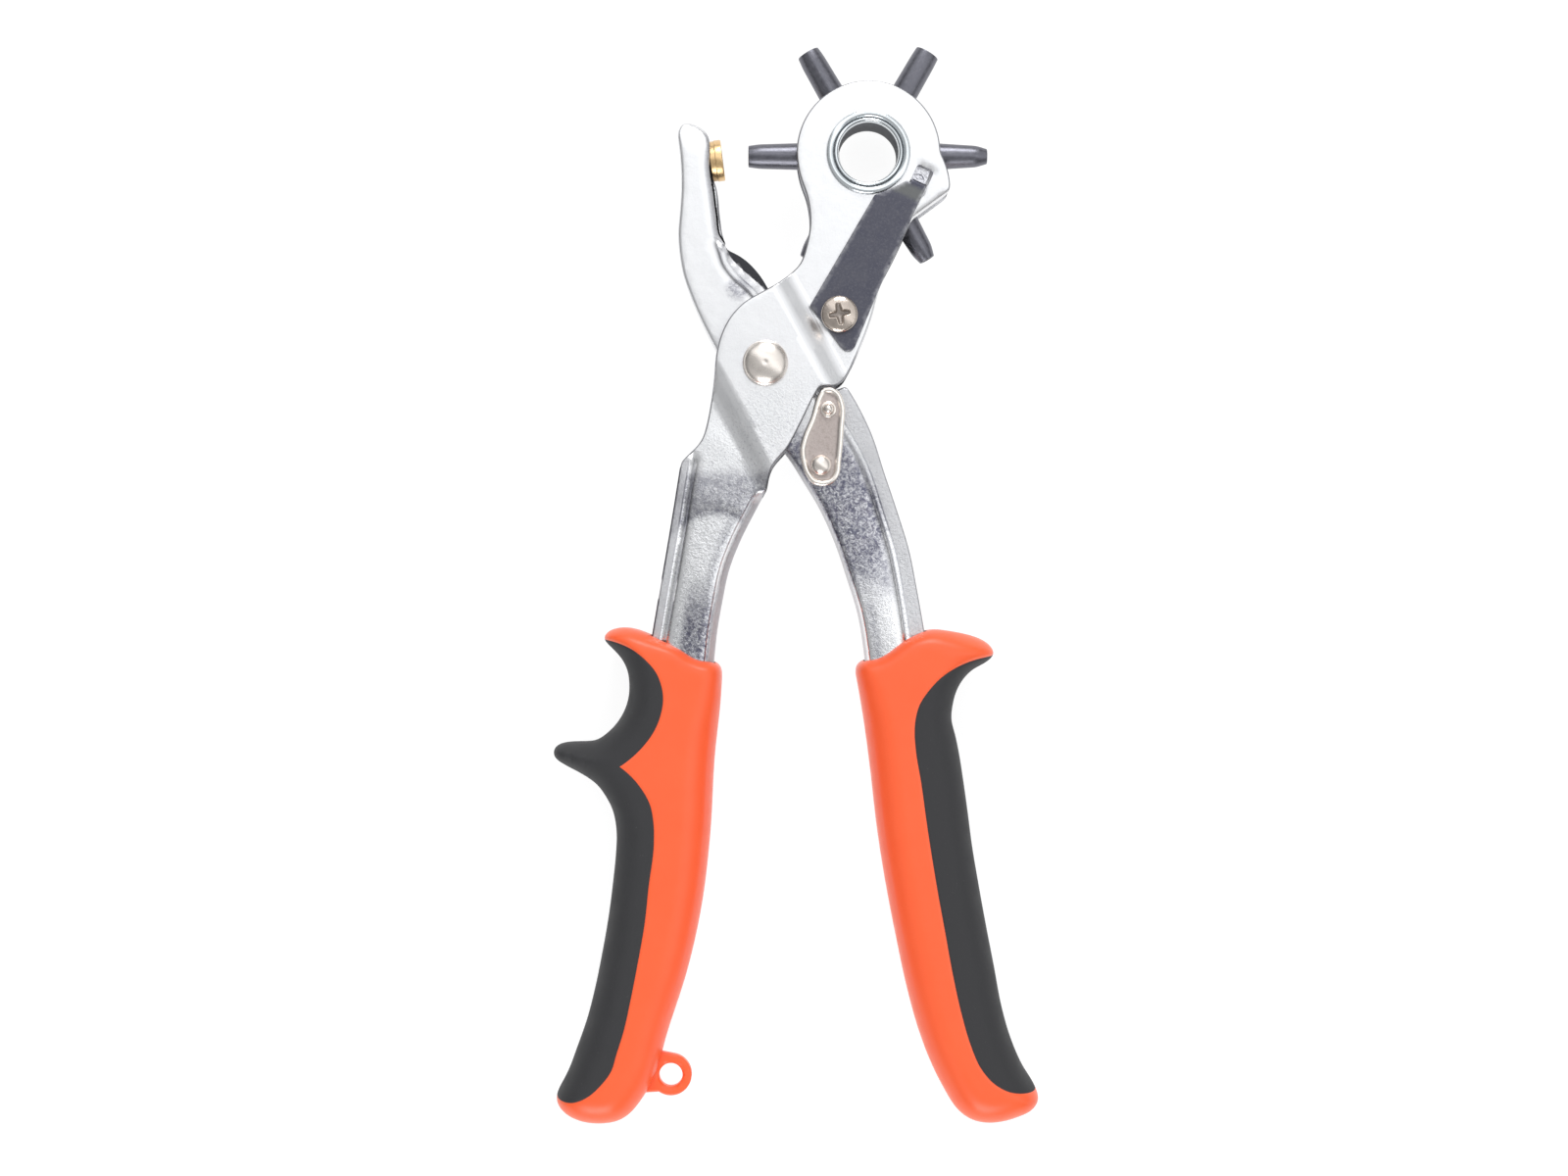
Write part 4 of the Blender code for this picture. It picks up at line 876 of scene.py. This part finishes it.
def wheel_lever():
    """The folded sheet that carries the turret. Webs under its folded edges join the two cheeks."""
    neck_right = curve_through(NECK_RIGHT)
    handle_inner = curve_through(LEFT_HANDLE_INNER)
    band_edge = curve_through(LEFT_BAND_EDGE)
    outline = divided(joined(
        curve_through(NECK_LEFT),
        arc(HUB, HEAD_R, 180, 0),
        curve_through(HEAD_CORNER),
        HEAD_FOLD,
        neck_right,
        LATCH_LEDGE,
        curve_through(CHEEK_RIGHT),
        handle_inner,
        curve_through(LEFT_HANDLE_OUTER),
        LEFT_HANDLE_NARROWS,
        band_edge,
        curve_through(CHEEK_LEFT),
    ))
    neck_fold = neck_right[(neck_right[:, 1] < NECK_WEB_TOP) & (neck_right[:, 1] > NECK_WEB_END)]
    handle_fold = handle_inner[handle_inner[:, 1] < HANDLE_WEB_TOP]
    head_fold = divided(np.array(HEAD_FOLD))[:-8]
    radius = np.maximum(
        edge_radius(outline, neck_fold, handle_fold),
        edge_radius(outline, head_fold, radius=HEAD_FOLD_EDGE, reach=2)
    )
    outline = eased(outline, 3)
    neck_web = moved_aside(neck_fold, SHEET)
    neck_web = neck_web[neck_web[:, 1] < NECK_WEB_TOP - 0.1]
    handle_web = moved_aside(handle_fold, SHEET)
    channel = joined(
        [(-FAR, FAR), (FAR, FAR), (FAR, NECK_WEB_TOP), (neck_web[0][0] + 0.6, NECK_WEB_TOP)],
        neck_web,
        [(neck_web[-1][0] - 0.7, NECK_WEB_END), (FAR, NECK_WEB_END), (FAR, HANDLE_WEB_TOP)],
        [(handle_web[0][0] + 0.6, HANDLE_WEB_TOP)],
        handle_web,
        [(handle_web[-1][0] - 8.0, -2.4 * FAR), (-FAR, -2.4 * FAR)],
    )
    slot_centre = LEAF_BEND + direction(LEAF_DIRECTION) * SLOT_FROM_BEND
    slot = box_outline(slot_centre, SLOT, LEAF_DIRECTION, 0.9)
    hub_hole = circle(HUB, HUB_HOLE_R)
    rows = step_rows() + [moved_aside(band_edge, q) for q, _ in LEFT_SHOULDER[1:-1]]
    rows += [moved_aside(handle_fold, q) for q, _ in LEFT_FLANK[1:]]
    plan = Plan(outline, radius, [channel, slot, hub_hole], rows)
    p = plan.points
    distance, side, _ = nearest(p, band_edge)
    fade = smooth(-19.6, -22.4, p[:, 1]) * smooth(-67.0, -64.0, p[:, 1])
    band = profile_height(distance, LEFT_SHOULDER) * np.where(side > 0, fade, 0)
    folded = smooth(HANDLE_WEB_TOP + 1.5, HANDLE_WEB_TOP - 1.5, p[:, 1]) * (nearest(p, handle_fold)[0] < 4)
    edge = blend(-rounded(plan.depth, plan.radius), profile_height(plan.depth, LEFT_FLANK), folded)
    outside = SKIN_OUT + step_height(p) + band + edge
    front = outside + left_handle_form(p, handle_fold) - rounded(nearest(p, slot, closed=True)[0], 0.15)
    inner = SKIN_IN + step_height(p)
    marks = lever_marks(plan, folded * smooth(1.5, 1.3, plan.depth), left_painted_reflections(p, handle_fold))
    outer_band = 0.65 * smooth(2.0, 1.7, distance) * np.where(side > 0, fade, 0)
    marks["dull"] = np.maximum(marks["dull"], outer_band)
    # Painted shadow: a near-black line under the cheek's lower edge.
    marks["dark"] = 0.9 * bell(nearest(p, np.array(CHEEK_SHADE))[0], 0.45)
    return plan.solid(
        "wheel_lever_sheet", -outside, front, inner=(-inner, inner), kept=~inside(plan.centre, hub_hole),
        hollow=inside(plan.centre, channel), window=inside(plan.centre, slot), **marks
    )


def above_arch(x, y):
    """How far a point lies above the arched line where the left handle steps down."""
    return y + 32.6 + 0.05 * (x + 12) ** 2


def left_handle_form(p, fold):
    """The shallow step, swell and crown that pressing left in the front of the left handle."""
    x, y = p.T
    step = 0.14 * smooth(-1.4, 1.4, above_arch(x, y))
    swell = 0.1 * smooth(-34, -48, y) - 0.26 * smooth(-48, -66, y)
    crown = -0.005 * (nearest(p, fold)[0] - 5.0) ** 2 * smooth(-28, -36, y) * smooth(-90, -70, y)
    return (step + swell + np.maximum(crown, -0.3)) * smooth(-18, -26, y + 0.6 * x) * (y > -80)


def right_handle_form(p, inner_line):
    """The shallow dip and crown in the front of the right handle."""
    y = p[:, 1]
    dip = -0.42 * smooth(-6, -36, y) * smooth(-66, -38, y)
    crown = -0.005 * (nearest(p, inner_line)[0] - 5.0) ** 2 * smooth(-18, -28, y) * smooth(-90, -70, y)
    return dip + np.maximum(crown, -0.3)


def left_painted_reflections(p, fold):
    """Where dark reflections are painted on the left handle: above the step, along it, and towards the grip.
    """
    x, y = p.T
    over = above_arch(x, y)
    above = 0.62 * smooth(-23.0, -27.0, y) * smooth(-1.0, 1.0, over)
    along = 0.8 * bell(over + 0.8, 1.2)
    inner = nearest(p, fold)[0]
    side = 0.5 * bell(inner - 3.6, 1.0) * smooth(-33, -37, y) * smooth(-58, -50, y)
    low_part = 0.92 * smooth(-46, -60, y) * smooth(9.0, 7.0, inner)
    return np.maximum.reduce([above, along, side, low_part])


def right_painted_reflections(p, fold):
    """Where dark reflections are painted on the anvil lever: a spot by the joint, and the inner side of the
    handle.
    """
    x, y = p.T
    spot = 0.6 * smooth(3.2, 1.6, np.hypot((x + 6.3) / 1.1, y - 17.2))
    inner = nearest(p, fold)[0]
    wide = 3.0 * smooth(-46, -30, y)
    handle = 0.95 * smooth(-13, -19, y) * smooth(12.0 + wide, 8.5 + wide, inner) * smooth(-58, -44, y)
    streak = 0.55 * bell(inner - 3.0, 1.2) * smooth(-50, -56, y)
    return np.maximum.reduce([spot, handle, streak])


def lever_marks(plan, flank, painted_reflections):
    """Where the sheet is sandy, mirror bright, or rough and dull, where a darker rim is painted on its steep
    edge, and where dark reflections are painted on it.
    """
    x, y = plan.points.T
    sandy = 0.12 + 0.88 * smooth(2.0, -22.0, y - 0.3 * x) * smooth(-90, -80, y)
    steep = smooth(0.05, 0.7, 1 - plan.depth / plan.radius) * (1 - flank) * smooth(1.0, 0.6, plan.radius)
    return {
        "sandy": sandy, "mirror": smooth(-24, -36, y), "dull": flank, "edge": steep,
        "blotchy_darkening": painted_reflections * (1 - flank)
    }


def anvil_lever():
    """The folded sheet that carries the anvil. One web joins its cheeks all along the inner edge."""
    inner_line = curve_through(RIGHT_HANDLE_INNER)
    shoulder = curve_through(ANVIL_SHOULDER)
    jaw_tip = curve_through(JAW_TIP)
    outline = divided(joined(
        jaw_tip,
        curve_through(JAW_RIGHT),
        curve_through(JAW_CROTCH_REAR),
        UNDER_CHEEK,
        curve_through(RIGHT_HANDLE_OUTER),
        RIGHT_HANDLE_NARROWS,
        curve_through(RIGHT_HANDLE_END),
        inner_line,
    ))
    radius = edge_radius(outline, inner_line, jaw_tip)
    outline = eased(outline, 3)
    by_spring = smooth(5.0, 8.0, inner_line[:, 1]) * smooth(24.0, 21.0, inner_line[:, 1])
    web = moved_aside(inner_line, (SHEET - SPRING_RELIEF * by_spring)[:, None])
    web = web[web[:, 1] < JAW_CAP_LOW]
    below = -2 * FAR
    channel = joined(web, [(web[-1][0], JAW_CAP_LOW), (FAR, JAW_CAP_LOW), (FAR, below), (web[0][0], below)])
    crotch = curve_through(JAW_CROTCH_FRONT)
    notch = joined(crotch, [(FAR, 15.6), (FAR, 30.0), (-9.0, 30.0)])
    rows = [moved_aside(shoulder, -q) for q, _ in RIGHT_SHOULDER]
    upper = shoulder[shoulder[:, 1] > 25]
    rows += [moved_aside(upper, -q) for q, _ in JAW_SHOULDER[2:-1]]
    handle_fold = inner_line[inner_line[:, 1] < -14]
    rows += [moved_aside(handle_fold, q) for q, _ in RIGHT_FLANK[1:]]
    plan = Plan(outline, radius, [channel, notch], rows)
    p = plan.points
    distance, side, _ = nearest(p, shoulder)
    across_shoulder = -distance * side
    jaw = smooth(26.0, 29.5, p[:, 1])
    band = blend(
        profile_height(across_shoulder, RIGHT_SHOULDER), profile_height(across_shoulder, JAW_SHOULDER), jaw
    )
    cap_start, cap_end = np.array(JAW_CAP_LINE)
    cap_along = (cap_end - cap_start) / np.linalg.norm(cap_end - cap_start)
    beyond = np.maximum(0, (cap_start - p) @ right_of(cap_along))
    tip = 0.045 * beyond**2
    notch_edge = nearest(p, crotch)[0]
    folded = smooth(-15, -20, p[:, 1]) * (nearest(p, handle_fold)[0] < 4)
    edge = blend(-rounded(plan.depth, plan.radius), profile_height(plan.depth, RIGHT_FLANK), folded)
    skin = SKIN_OUT + band - tip + edge
    front = skin + right_handle_form(p, handle_fold) - rounded(notch_edge, 0.4)
    back = -skin + jaw * band
    inner = np.full(len(p), SKIN_IN)
    marks = lever_marks(plan, 0.7 * folded * smooth(0.6, 0.4, plan.depth), right_painted_reflections(p, handle_fold))
    # Painted shade: the narrow gap beside the jaw and the rear flange seen through the notch are darkened in
    # colour.
    gap = jaw * (across_shoulder > JAW_GAP[0]) * (across_shoulder < JAW_GAP[1])
    behind = inside(p, notch) * smooth(0.0, 0.5, notch_edge)
    marks["dark"] = np.maximum(gap, behind)
    strip = 0.9 * jaw * smooth(-0.3, 0.3, across_shoulder) * (across_shoulder < JAW_GAP[0])
    outer_band = 0.6 * (1 - jaw) * smooth(0.4, 0.7, across_shoulder)
    marks["dull"] = np.maximum.reduce([marks["dull"], strip, outer_band])
    return plan.solid(
        "anvil_lever_sheet", back, front, inner=(-inner, inner),
        hollow=inside(plan.centre, channel), window=inside(plan.centre, notch), **marks
    )


# ---------------------------------------------------------------- round pieces


def pivot_rivet():
    """A domed head with a small dimple in its crown, and a flat head behind."""
    top, foot = high("pivot_rivet"), low("pivot_rivet")
    head = SKIN_OUT + STEP_RISE + 0.25
    crown = dome(5.2, head + 0.5, top)
    crown[:2] = [(0, top - 0.22), (0.5, top - 0.05, 0.3)]
    return turned("pivot_rivet_turned", crown + [
        (5.2, head, 0.15), (3.0, head), (3.0, -head), (5.2, -head, 0.2), (5.2, foot, 0.5), (0, foot)
    ], PIVOT)


def hub_sleeve():
    """The axle of the turret, a tube with rolled ends: an outer bead, a groove and an inner lip."""
    foot, top = SKIN_OUT + GAP, high("hub_sleeve")
    front = [
        (6.7, 4.6, 1.0), (6.95, top - 0.8, 0.4), (7.15, top - 0.15, 0.3), (7.7, top - 0.1, 0.2),
        (7.82, top - 0.9, 0.1), (7.95, top - 0.9, 0.1), (8.1, top - 0.25, 0.3), (8.8, top, 0.5),
        (9.5, top - 0.22, 0.3), (9.6, top - 0.6, 0.1), (9.6, foot, 0.1), (7.9, foot)
    ]
    back = [(radius, -height, *soft) for radius, height, *soft in reversed(front)]

    def dark(radius, height):
        """Painted shade in the bore and at the bottoms of the two grooves."""
        groove = (abs(radius - 7.9) < 0.1) & (height < top - 0.5)
        return np.maximum((radius < 6.9) & (height < top - 0.6), 0.8 * groove)

    return turned("hub_sleeve_rolled", front + back, HUB, sides=128, dark=dark)


def punch_tube(cut_size, tip_size, angle):
    """A hollow tube with a shouldered foot, a tapered nose and a slightly blunted cutting rim."""
    name = f"punch_tube_{cut_size:.1f}mm".replace(".", "_")
    turn = math.radians(angle)
    bore, tip = cut_size / 2, tip_size / 2 + 0.12
    foot, end = TURRET_R + GAP, TUBE_END
    nose = foot + (end - foot) * 0.8
    body = 3.1 + (tip - 3.1) * 0.45
    profile = [
        (bore, foot - 4.0, 0.2), (bore, end, 0.06), (tip, end, 0.22), (body, nose, 0.9), (3.1, foot, 0.15),
        (2.6, foot, 0.05), (2.6, foot - 4.0, 0.2)
    ]
    tube = turned(name + "_turned", profile, HUB, (math.cos(turn), math.sin(turn), 0))
    finish(tube, black_oxide(f"black_oxide_{angle}", turn), "turret", "black_steel", name)


def anvil_pad():
    """A flat disc with a groove round its foot, and a shank in the jaw."""
    tilt = math.radians(7.35)
    normal = (math.cos(tilt), math.sin(tilt), 0)
    face = np.array([-9.9, 47.65])
    back = face - 2.2 * np.array(normal[:2])
    profile = [
        (0, 2.2), (4.75, 2.2, 0.3), (4.75, 0.55, 0.1), (4.6, 0.5, 0.04), (4.6, -0.7, 0.1), (2.0, -0.7),
        (2.0, -3.6, 0.2), (0, -3.6)
    ]
    return turned("anvil_pad_turned", profile, back, normal)


def latch_rivet():
    foot, end = high("latch_plate") + 0.02, low("latch_rivet")
    return turned("latch_rivet_turned", dome(2.35, foot + 0.15, high("latch_rivet")) + [
        (2.35, foot, 0.08), (1.3, foot), (1.3, SKIN_IN - GAP), (2.2, SKIN_IN - GAP, 0.1),
        (2.2, end, 0.3), (0, end)
    ], LATCH_RIVET)


def latch_thumb_stud():
    foot, end = high("latch_plate") - 0.45, low("latch_thumb_stud")
    return turned("latch_thumb_stud_turned", dome(1.3, foot + 0.75, high("latch_thumb_stud")) + [
        (1.35, foot + 0.5, 0.1), (1.75, foot + 0.42, 0.12), (1.9, foot + 0.2, 0.12), (1.9, foot, 0.05),
        (0.8, foot), (0.8, end, 0.1), (0, end)
    ], LATCH_STUD)


def detent_screw():
    """A pan head with a cross recess, as a fine relief, on a turned shank."""
    top = high("detent_screw")
    foot = top - 2.3
    head_radius, wing_reach, turn = 4.2, 2.4, math.radians(10)
    outline = circle(SCREW, head_radius, 110)
    plan = Plan(outline, np.full(len(outline), 1.2), grid=0.14, rings=8)
    place = plan.points - SCREW
    radius = lengths(place)
    u, v = np.abs(place @ direction(turn)), np.abs(place @ right_of(direction(turn)))
    half = 0.72 - 0.11 * radius
    wing = np.minimum(np.maximum(u - wing_reach, v - half), np.maximum(v - wing_reach, u - half))
    recess = smooth(0.12, -0.25, np.minimum(wing, radius - 1.05))
    front = top - rounded(plan.depth, head_radius, 1.25) - recess * (1.6 - 0.4 * radius)
    front = plan.relaxed(front, 0.35, 2)
    # Painted shade: the cross recess is darkened in colour.
    head = plan.solid("detent_screw_head", np.full(len(front), foot), front, dark=0.45 * recess)
    shank = [(0, foot + 0.1), (2.0, foot + 0.1), (2.0, low("detent_screw"), 0.4), (0, low("detent_screw"))]
    return head, turned("detent_screw_shank", shank, SCREW)


# ---------------------------------------------------------------- leaf and latch


def detent_spring():
    """The leaf, with its tip bent down through the slot in the cheek."""
    foot = SKIN_OUT + GAP
    top = foot + 0.8
    along = direction(LEAF_DIRECTION)
    across = right_of(along) * LEAF_TIP_WIDTH / 2
    end = LEAF_BEND + along * LEAF_REACH
    corner = LEAF_BEND + along * 0.4
    outline = divided(softened(np.vstack([
        LEAF_EDGE[:-1], corner + across - along * 0.9, end + across, end - across, corner - across,
        LEAF_SHOULDER[1:]
    ]), 0.35))
    screw_hole = circle(SCREW, 2.6)
    row = across[None, :] * np.linspace(-0.94, 0.94, 11)[:, None]
    rows = [LEAF_BEND + along * s + row for s in np.arange(0.5, 1.9, 0.12)]
    plan = Plan(outline, np.full(len(outline), 0.18), [screw_hole], rows, grid=0.8, rings=3)
    s = (plan.points - LEAF_BEND) @ along
    bend = np.clip((s - 1.0) / (LEAF_REACH - 1.0), 0, 1)
    under = np.clip((s - 0.5) / (LEAF_REACH - 0.8 - 0.5), 0, 0.999)
    dip = 0.12 * smooth(-4.0, 0.5, s)
    front = top - dip - rounded(1 - bend, 1, top - LEAF_TOOTH - 0.5) - rounded(plan.depth, plan.radius)
    back = np.minimum(foot - dip - rounded(1 - under, 1, foot - LEAF_TOOTH), front - 0.2)
    worn = smooth(-3.2, -2.2, s) * smooth(0.6, -0.4, s)
    kept = ~inside(plan.centre, screw_hole)
    return plan.solid("detent_spring_leaf", back, front, kept=kept, edge=bell(plan.depth, 0.3), worn=worn)


def latch_plate():
    """A raised rim round a sandy field, which rises again round the stud and the rivet."""
    foot, top = low("latch_plate"), high("latch_plate")
    outline = joined(divided(curve_through(LATCH_EDGE, 0.5), 0.5))
    rows = [moved_inward(outline, q) for q in (0.75, 0.95, 1.15, 1.35, 1.55)]
    plan = Plan(outline, np.full(len(outline), 0.5), rows=rows, grid=0.55)
    field = smooth(0.85, 1.5, plan.depth)
    front = top - 0.42 * field - rounded(plan.depth, plan.radius)
    for centre, reach, rise in ((LATCH_STUD, 2.4, 0.1), (LATCH_RIVET, 3.0, 0.06)):
        front = front + rise * smooth(reach, reach - 0.5, lengths(plan.points - centre))
    back = foot + rounded(plan.depth, 0.3)
    return plan.solid("latch_plate_pressed", back, front, sandy=field)


# ---------------------------------------------------------------- grips


def grip(side, silhouette, inlay_line, inlay_far, pocket, mouth):
    """A hard shell and the soft inlay let into it, cut from one crowned form. Its edge is widely rounded,
    except at the mouth where the lever goes in."""
    outline = eased(silhouette, 6)
    inlay = joined(inlay_line, inlay_far)
    radius = blurred(np.where(mouth(*outline.T), GRIP_MOUTH_EDGE, GRIP_EDGE), 22)
    rows = [moved_aside(inlay_line, q) for q in (-0.7, -0.35, -0.15, 0.15, 0.35, 0.7)]
    plan = Plan(outline, radius, [pocket, inlay], rows, grid=1.1, rings=9, even=True)
    drop = np.minimum(1.4 * plan.radius, GRIP_HALF - 1.0)
    seam = 0.16 * bell(nearest(plan.points, inlay_line)[0], 0.22)
    height = GRIP_HALF - rounded(plan.depth, plan.radius, drop) - seam
    inner = np.full(len(plan.points), SKIN_OUT + GAP)
    soft = inside(plan.centre, inlay)
    hollow = inside(plan.centre, pocket)
    return (
        plan.solid(f"{side}_grip_shell_moulded", -height, height, (-inner, inner), ~soft, hollow),
        plan.solid(f"{side}_grip_inlay_moulded", -height, height, kept=soft)
    )


def left_grip():
    silhouette = divided(joined(
        curve_through(LEFT_GRIP_TOP), curve_through(LEFT_GRIP_RIGHT), curve_through(LEFT_GRIP_LEFT)
    ))
    inlay_line = joined(curve_through(LEFT_INLAY_LOWER)[::-1], curve_through(LEFT_INLAY_UPPER)[::-1])
    inner = curve_through(LEFT_HANDLE_INNER)
    inner = inner[inner[:, 1] < -60]
    outer = np.vstack([curve_through(LEFT_HANDLE_OUTER), LEFT_HANDLE_NARROWS])
    pocket = joined(
        [(-11.4, -55.0)],
        moved_aside(inner, -GAP),
        [(-23.0, -150.0), (-30.0, -148.5)],
        moved_aside(outer, -GAP),
        [(-26.6, -63.5), (-26.6, -55.0)],
    )
    far = [(-FAR, -62.9), (-FAR, -167.0)]
    return grip("left", silhouette, inlay_line, far, pocket, lambda x, y: (x > -27.0) & (y > -70.0))


def hanging_eye():
    """The thin tab with its hole, moulded on the end of the left grip."""
    root = [(-29.0, -168.0), (-29.0, -159.5), (-24.4, -158.4)]
    outline = divided(joined(arc(EYE, EYE_R, 75, -125), root), 0.4)
    hole = circle(EYE, EYE_HOLE_R, 60)
    plan = Plan(outline, np.full(len(outline), 0.6), [hole], grid=0.7, rings=5)
    rim = nearest(plan.points, hole, closed=True)[0]
    height = EYE_HALF - rounded(plan.depth, plan.radius) - rounded(rim, 0.5)
    return plan.solid("left_grip_hanging_eye", -height, height, kept=~inside(plan.centre, hole))


def right_grip():
    silhouette = divided(joined(curve_through(RIGHT_GRIP_TOP), curve_through(RIGHT_GRIP_RIGHT)))
    inlay_line = curve_through(RIGHT_INLAY_EDGE)
    outer = np.vstack([RIGHT_HANDLE_NARROWS, curve_through(RIGHT_HANDLE_END)])
    inner = curve_through(RIGHT_HANDLE_INNER)
    inner = inner[inner[:, 1] < -60]
    pocket = joined(
        [(37.1, -55.0), (37.1, -63.2)],
        moved_aside(outer, -GAP),
        [(43.0, -148.5), (35.8, -150.4)],
        moved_aside(inner, -GAP),
        [(21.0, -55.0)],
    )
    far = [(FAR, -166.0), (FAR, -66.2)]
    return grip(
        "right", silhouette, inlay_line, far, pocket, lambda x, y: (x > 21.5) & (x < 37.5) & (y > -70.0)
    )


# ---------------------------------------------------------------- assembly


def finish(piece, material, body, slot, *nodes):
    """Gives a piece its material and body, and hides the CAD nodes it stands for. The slot argument is not
    used.
    """
    piece.data.materials.clear()
    piece.data.materials.append(material)
    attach(piece, body)
    if nodes:
        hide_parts(*nodes)


def object_pieces():
    zinc = zinc_sheet()
    screw_nickel = plated("screw_nickel", (0.70, 0.62, 0.55, 1), (0.42, 0.36, 0.32, 1), (0.16, 0.28))
    nickel = plated("nickel_plate", (0.95, 0.89, 0.83, 1), (0.76, 0.70, 0.65, 1), (0.24, 0.34))
    hub_zinc = plated("hub_zinc", (0.84, 0.88, 0.90, 1), (0.62, 0.66, 0.69, 1), (0.12, 0.2), depth=0.004)
    ring_zinc = plated("turret_zinc", (0.90, 0.90, 0.92, 1), (0.50, 0.50, 0.56, 1), grain=1.1, depth=0.22)
    spring = plated("spring_wire", (0.30, 0.30, 0.33, 1), (0.12, 0.12, 0.14, 1))
    orange = orange_plastic()
    soft = soft_overmould()

    finish(wheel_lever(), zinc, "wheel_lever", "zinc_steel", "wheel_lever_channel")
    finish(anvil_lever(), zinc, "anvil_lever", "zinc_steel", "anvil_lever_channel")
    finish(pivot_rivet(), nickel, "wheel_lever", "nickel_steel", "pivot_rivet")
    finish(hub_sleeve(), hub_zinc, "wheel_lever", "hub_steel", "hub_sleeve")
    head, shank = detent_screw()
    finish(head, screw_nickel, "wheel_lever", "nickel_steel", "detent_screw")
    finish(shank, screw_nickel, "wheel_lever", "nickel_steel")
    for tube in TUBES:
        punch_tube(*tube)
    finish(anvil_pad(), turned_brass(), "anvil_lever", "brass", "anvil_pad")
    finish(detent_spring(), blued_leaf(), "detent_leaf", "spring_steel", "detent_spring")
    finish(latch_plate(), latch_nickel(), "latch", "nickel_steel", "latch_plate")
    finish(latch_thumb_stud(), nickel, "latch", "nickel_steel", "latch_thumb_stud")
    finish(latch_rivet(), nickel, "anvil_lever", "nickel_steel", "latch_rivet")
    for side, body, (shell, inlay) in (
        ("left", "wheel_lever", left_grip()),
        ("right", "anvil_lever", right_grip()),
    ):
        finish(shell, orange, body, "orange_plastic", f"{side}_grip_shell")
        finish(inlay, soft, body, "soft_grip", f"{side}_grip_inlay")
    finish(hanging_eye(), orange, "wheel_lever", "orange_plastic")
    for node, material in (("turret_ring", ring_zinc), ("return_spring", spring)):
        for place in frame["nodes"][node].material_slots:
            place.material = material


# ---------------------------------------------------------------- studio


def floor():
    """A white sheet that glows a little, so that it stays white under the tool's soft shadow."""
    f = Finish("studio_floor", Roughness=0.9, Emission_Color=(1, 1, 1, 1), Emission_Strength=0.9)
    f.use(f.mix(f.noise(400.0, 2), (0.17, 0.17, 0.17, 1), (0.19, 0.19, 0.19, 1)))
    half = 3.0
    mesh = bpy.data.meshes.new("studio_floor")
    corners = [(-half, -half, 0), (half, -half, 0), (half, half, 0), (-half, half, 0)]
    mesh.from_pydata(corners, [], [(0, 1, 2, 3)])
    mesh.materials.append(f.material)
    made = bpy.data.objects.new("studio_floor", mesh)
    bpy.context.collection.objects.link(made)


# How bright the room is: by the direction's lean to the upper right, by its height, and by its distance
# from a dark patch beside the zenith.
LEAN = (0.6, 0.8, 0)
BY_LEAN = (
    (-1.0, 0.8), (-0.4, 0.5), (-0.1, 0.58), (0.0, 0.62), (0.05, 0.92), (0.09, 1.4), (0.15, 1.75),
    (0.24, 1.6), (0.4, 1.15), (0.7, 1.05), (1.0, 1.0)
)
BY_HEIGHT = ((0.0, 0.22), (0.34, 0.36), (0.5, 0.84), (0.7, 0.9), (1.0, 1.0))
DARK_PATCH = (-0.075, -0.045, 0.996)
BY_PATCH = ((0.0, 0.18), (0.05, 0.3), (0.11, 1.0))


def world():
    made = bpy.data.worlds.new("studio")
    made.use_nodes = True
    bpy.context.scene.world = made
    n = Nodes(made.node_tree)
    sky = n.tree.nodes["Background"]
    direction = n.node("TexCoord").outputs["Generated"]
    lean = n.node("VectorMath", direction, LEAN, operation="DOT_PRODUCT").outputs["Value"]
    height = n.node("SeparateXYZ", direction).outputs["Z"]
    away = n.node("VectorMath", direction, DARK_PATCH, operation="DISTANCE").outputs["Value"]
    strength = n.times(n.curve(lean, BY_LEAN), n.curve(height, BY_HEIGHT))
    n.feed(sky.inputs["Strength"], n.times(strength, n.curve(away, BY_PATCH)))
    sky.inputs["Color"].default_value = (0.98, 0.99, 1.0, 1)


def softbox(name, place, side, power):
    """A square light aimed at the middle of the tool."""
    data = bpy.data.lights.new(name, "AREA")
    data.shape = "RECTANGLE"
    data.size = data.size_y = side
    data.energy = power
    made = bpy.data.objects.new(name, data)
    made.location = place
    made.rotation_euler = (Vector((0, -0.05, 0)) - Vector(place)).to_track_quat("-Z", "Y").to_euler()
    bpy.context.collection.objects.link(made)


def camera():
    """Straight down on the tool, a little off its middle."""
    data = bpy.data.cameras.new("camera")
    data.sensor_width = 36.0
    data.lens = 61.5
    data.clip_start, data.clip_end = 0.01, 20
    made = bpy.data.objects.new("camera", data)
    made.location = (0.00424, -0.05135, 0.630)
    bpy.context.collection.objects.link(made)
    bpy.context.scene.camera = made


def studio():
    floor()
    world()
    softbox("key", (0.1, 1.0, 0.6), 0.5, 6)
    softbox("fill", (-0.1, -1.05, 0.5), 0.6, 5)
    camera()
    bpy.context.scene.view_settings.view_transform = "Standard"


object_pieces()
studio()
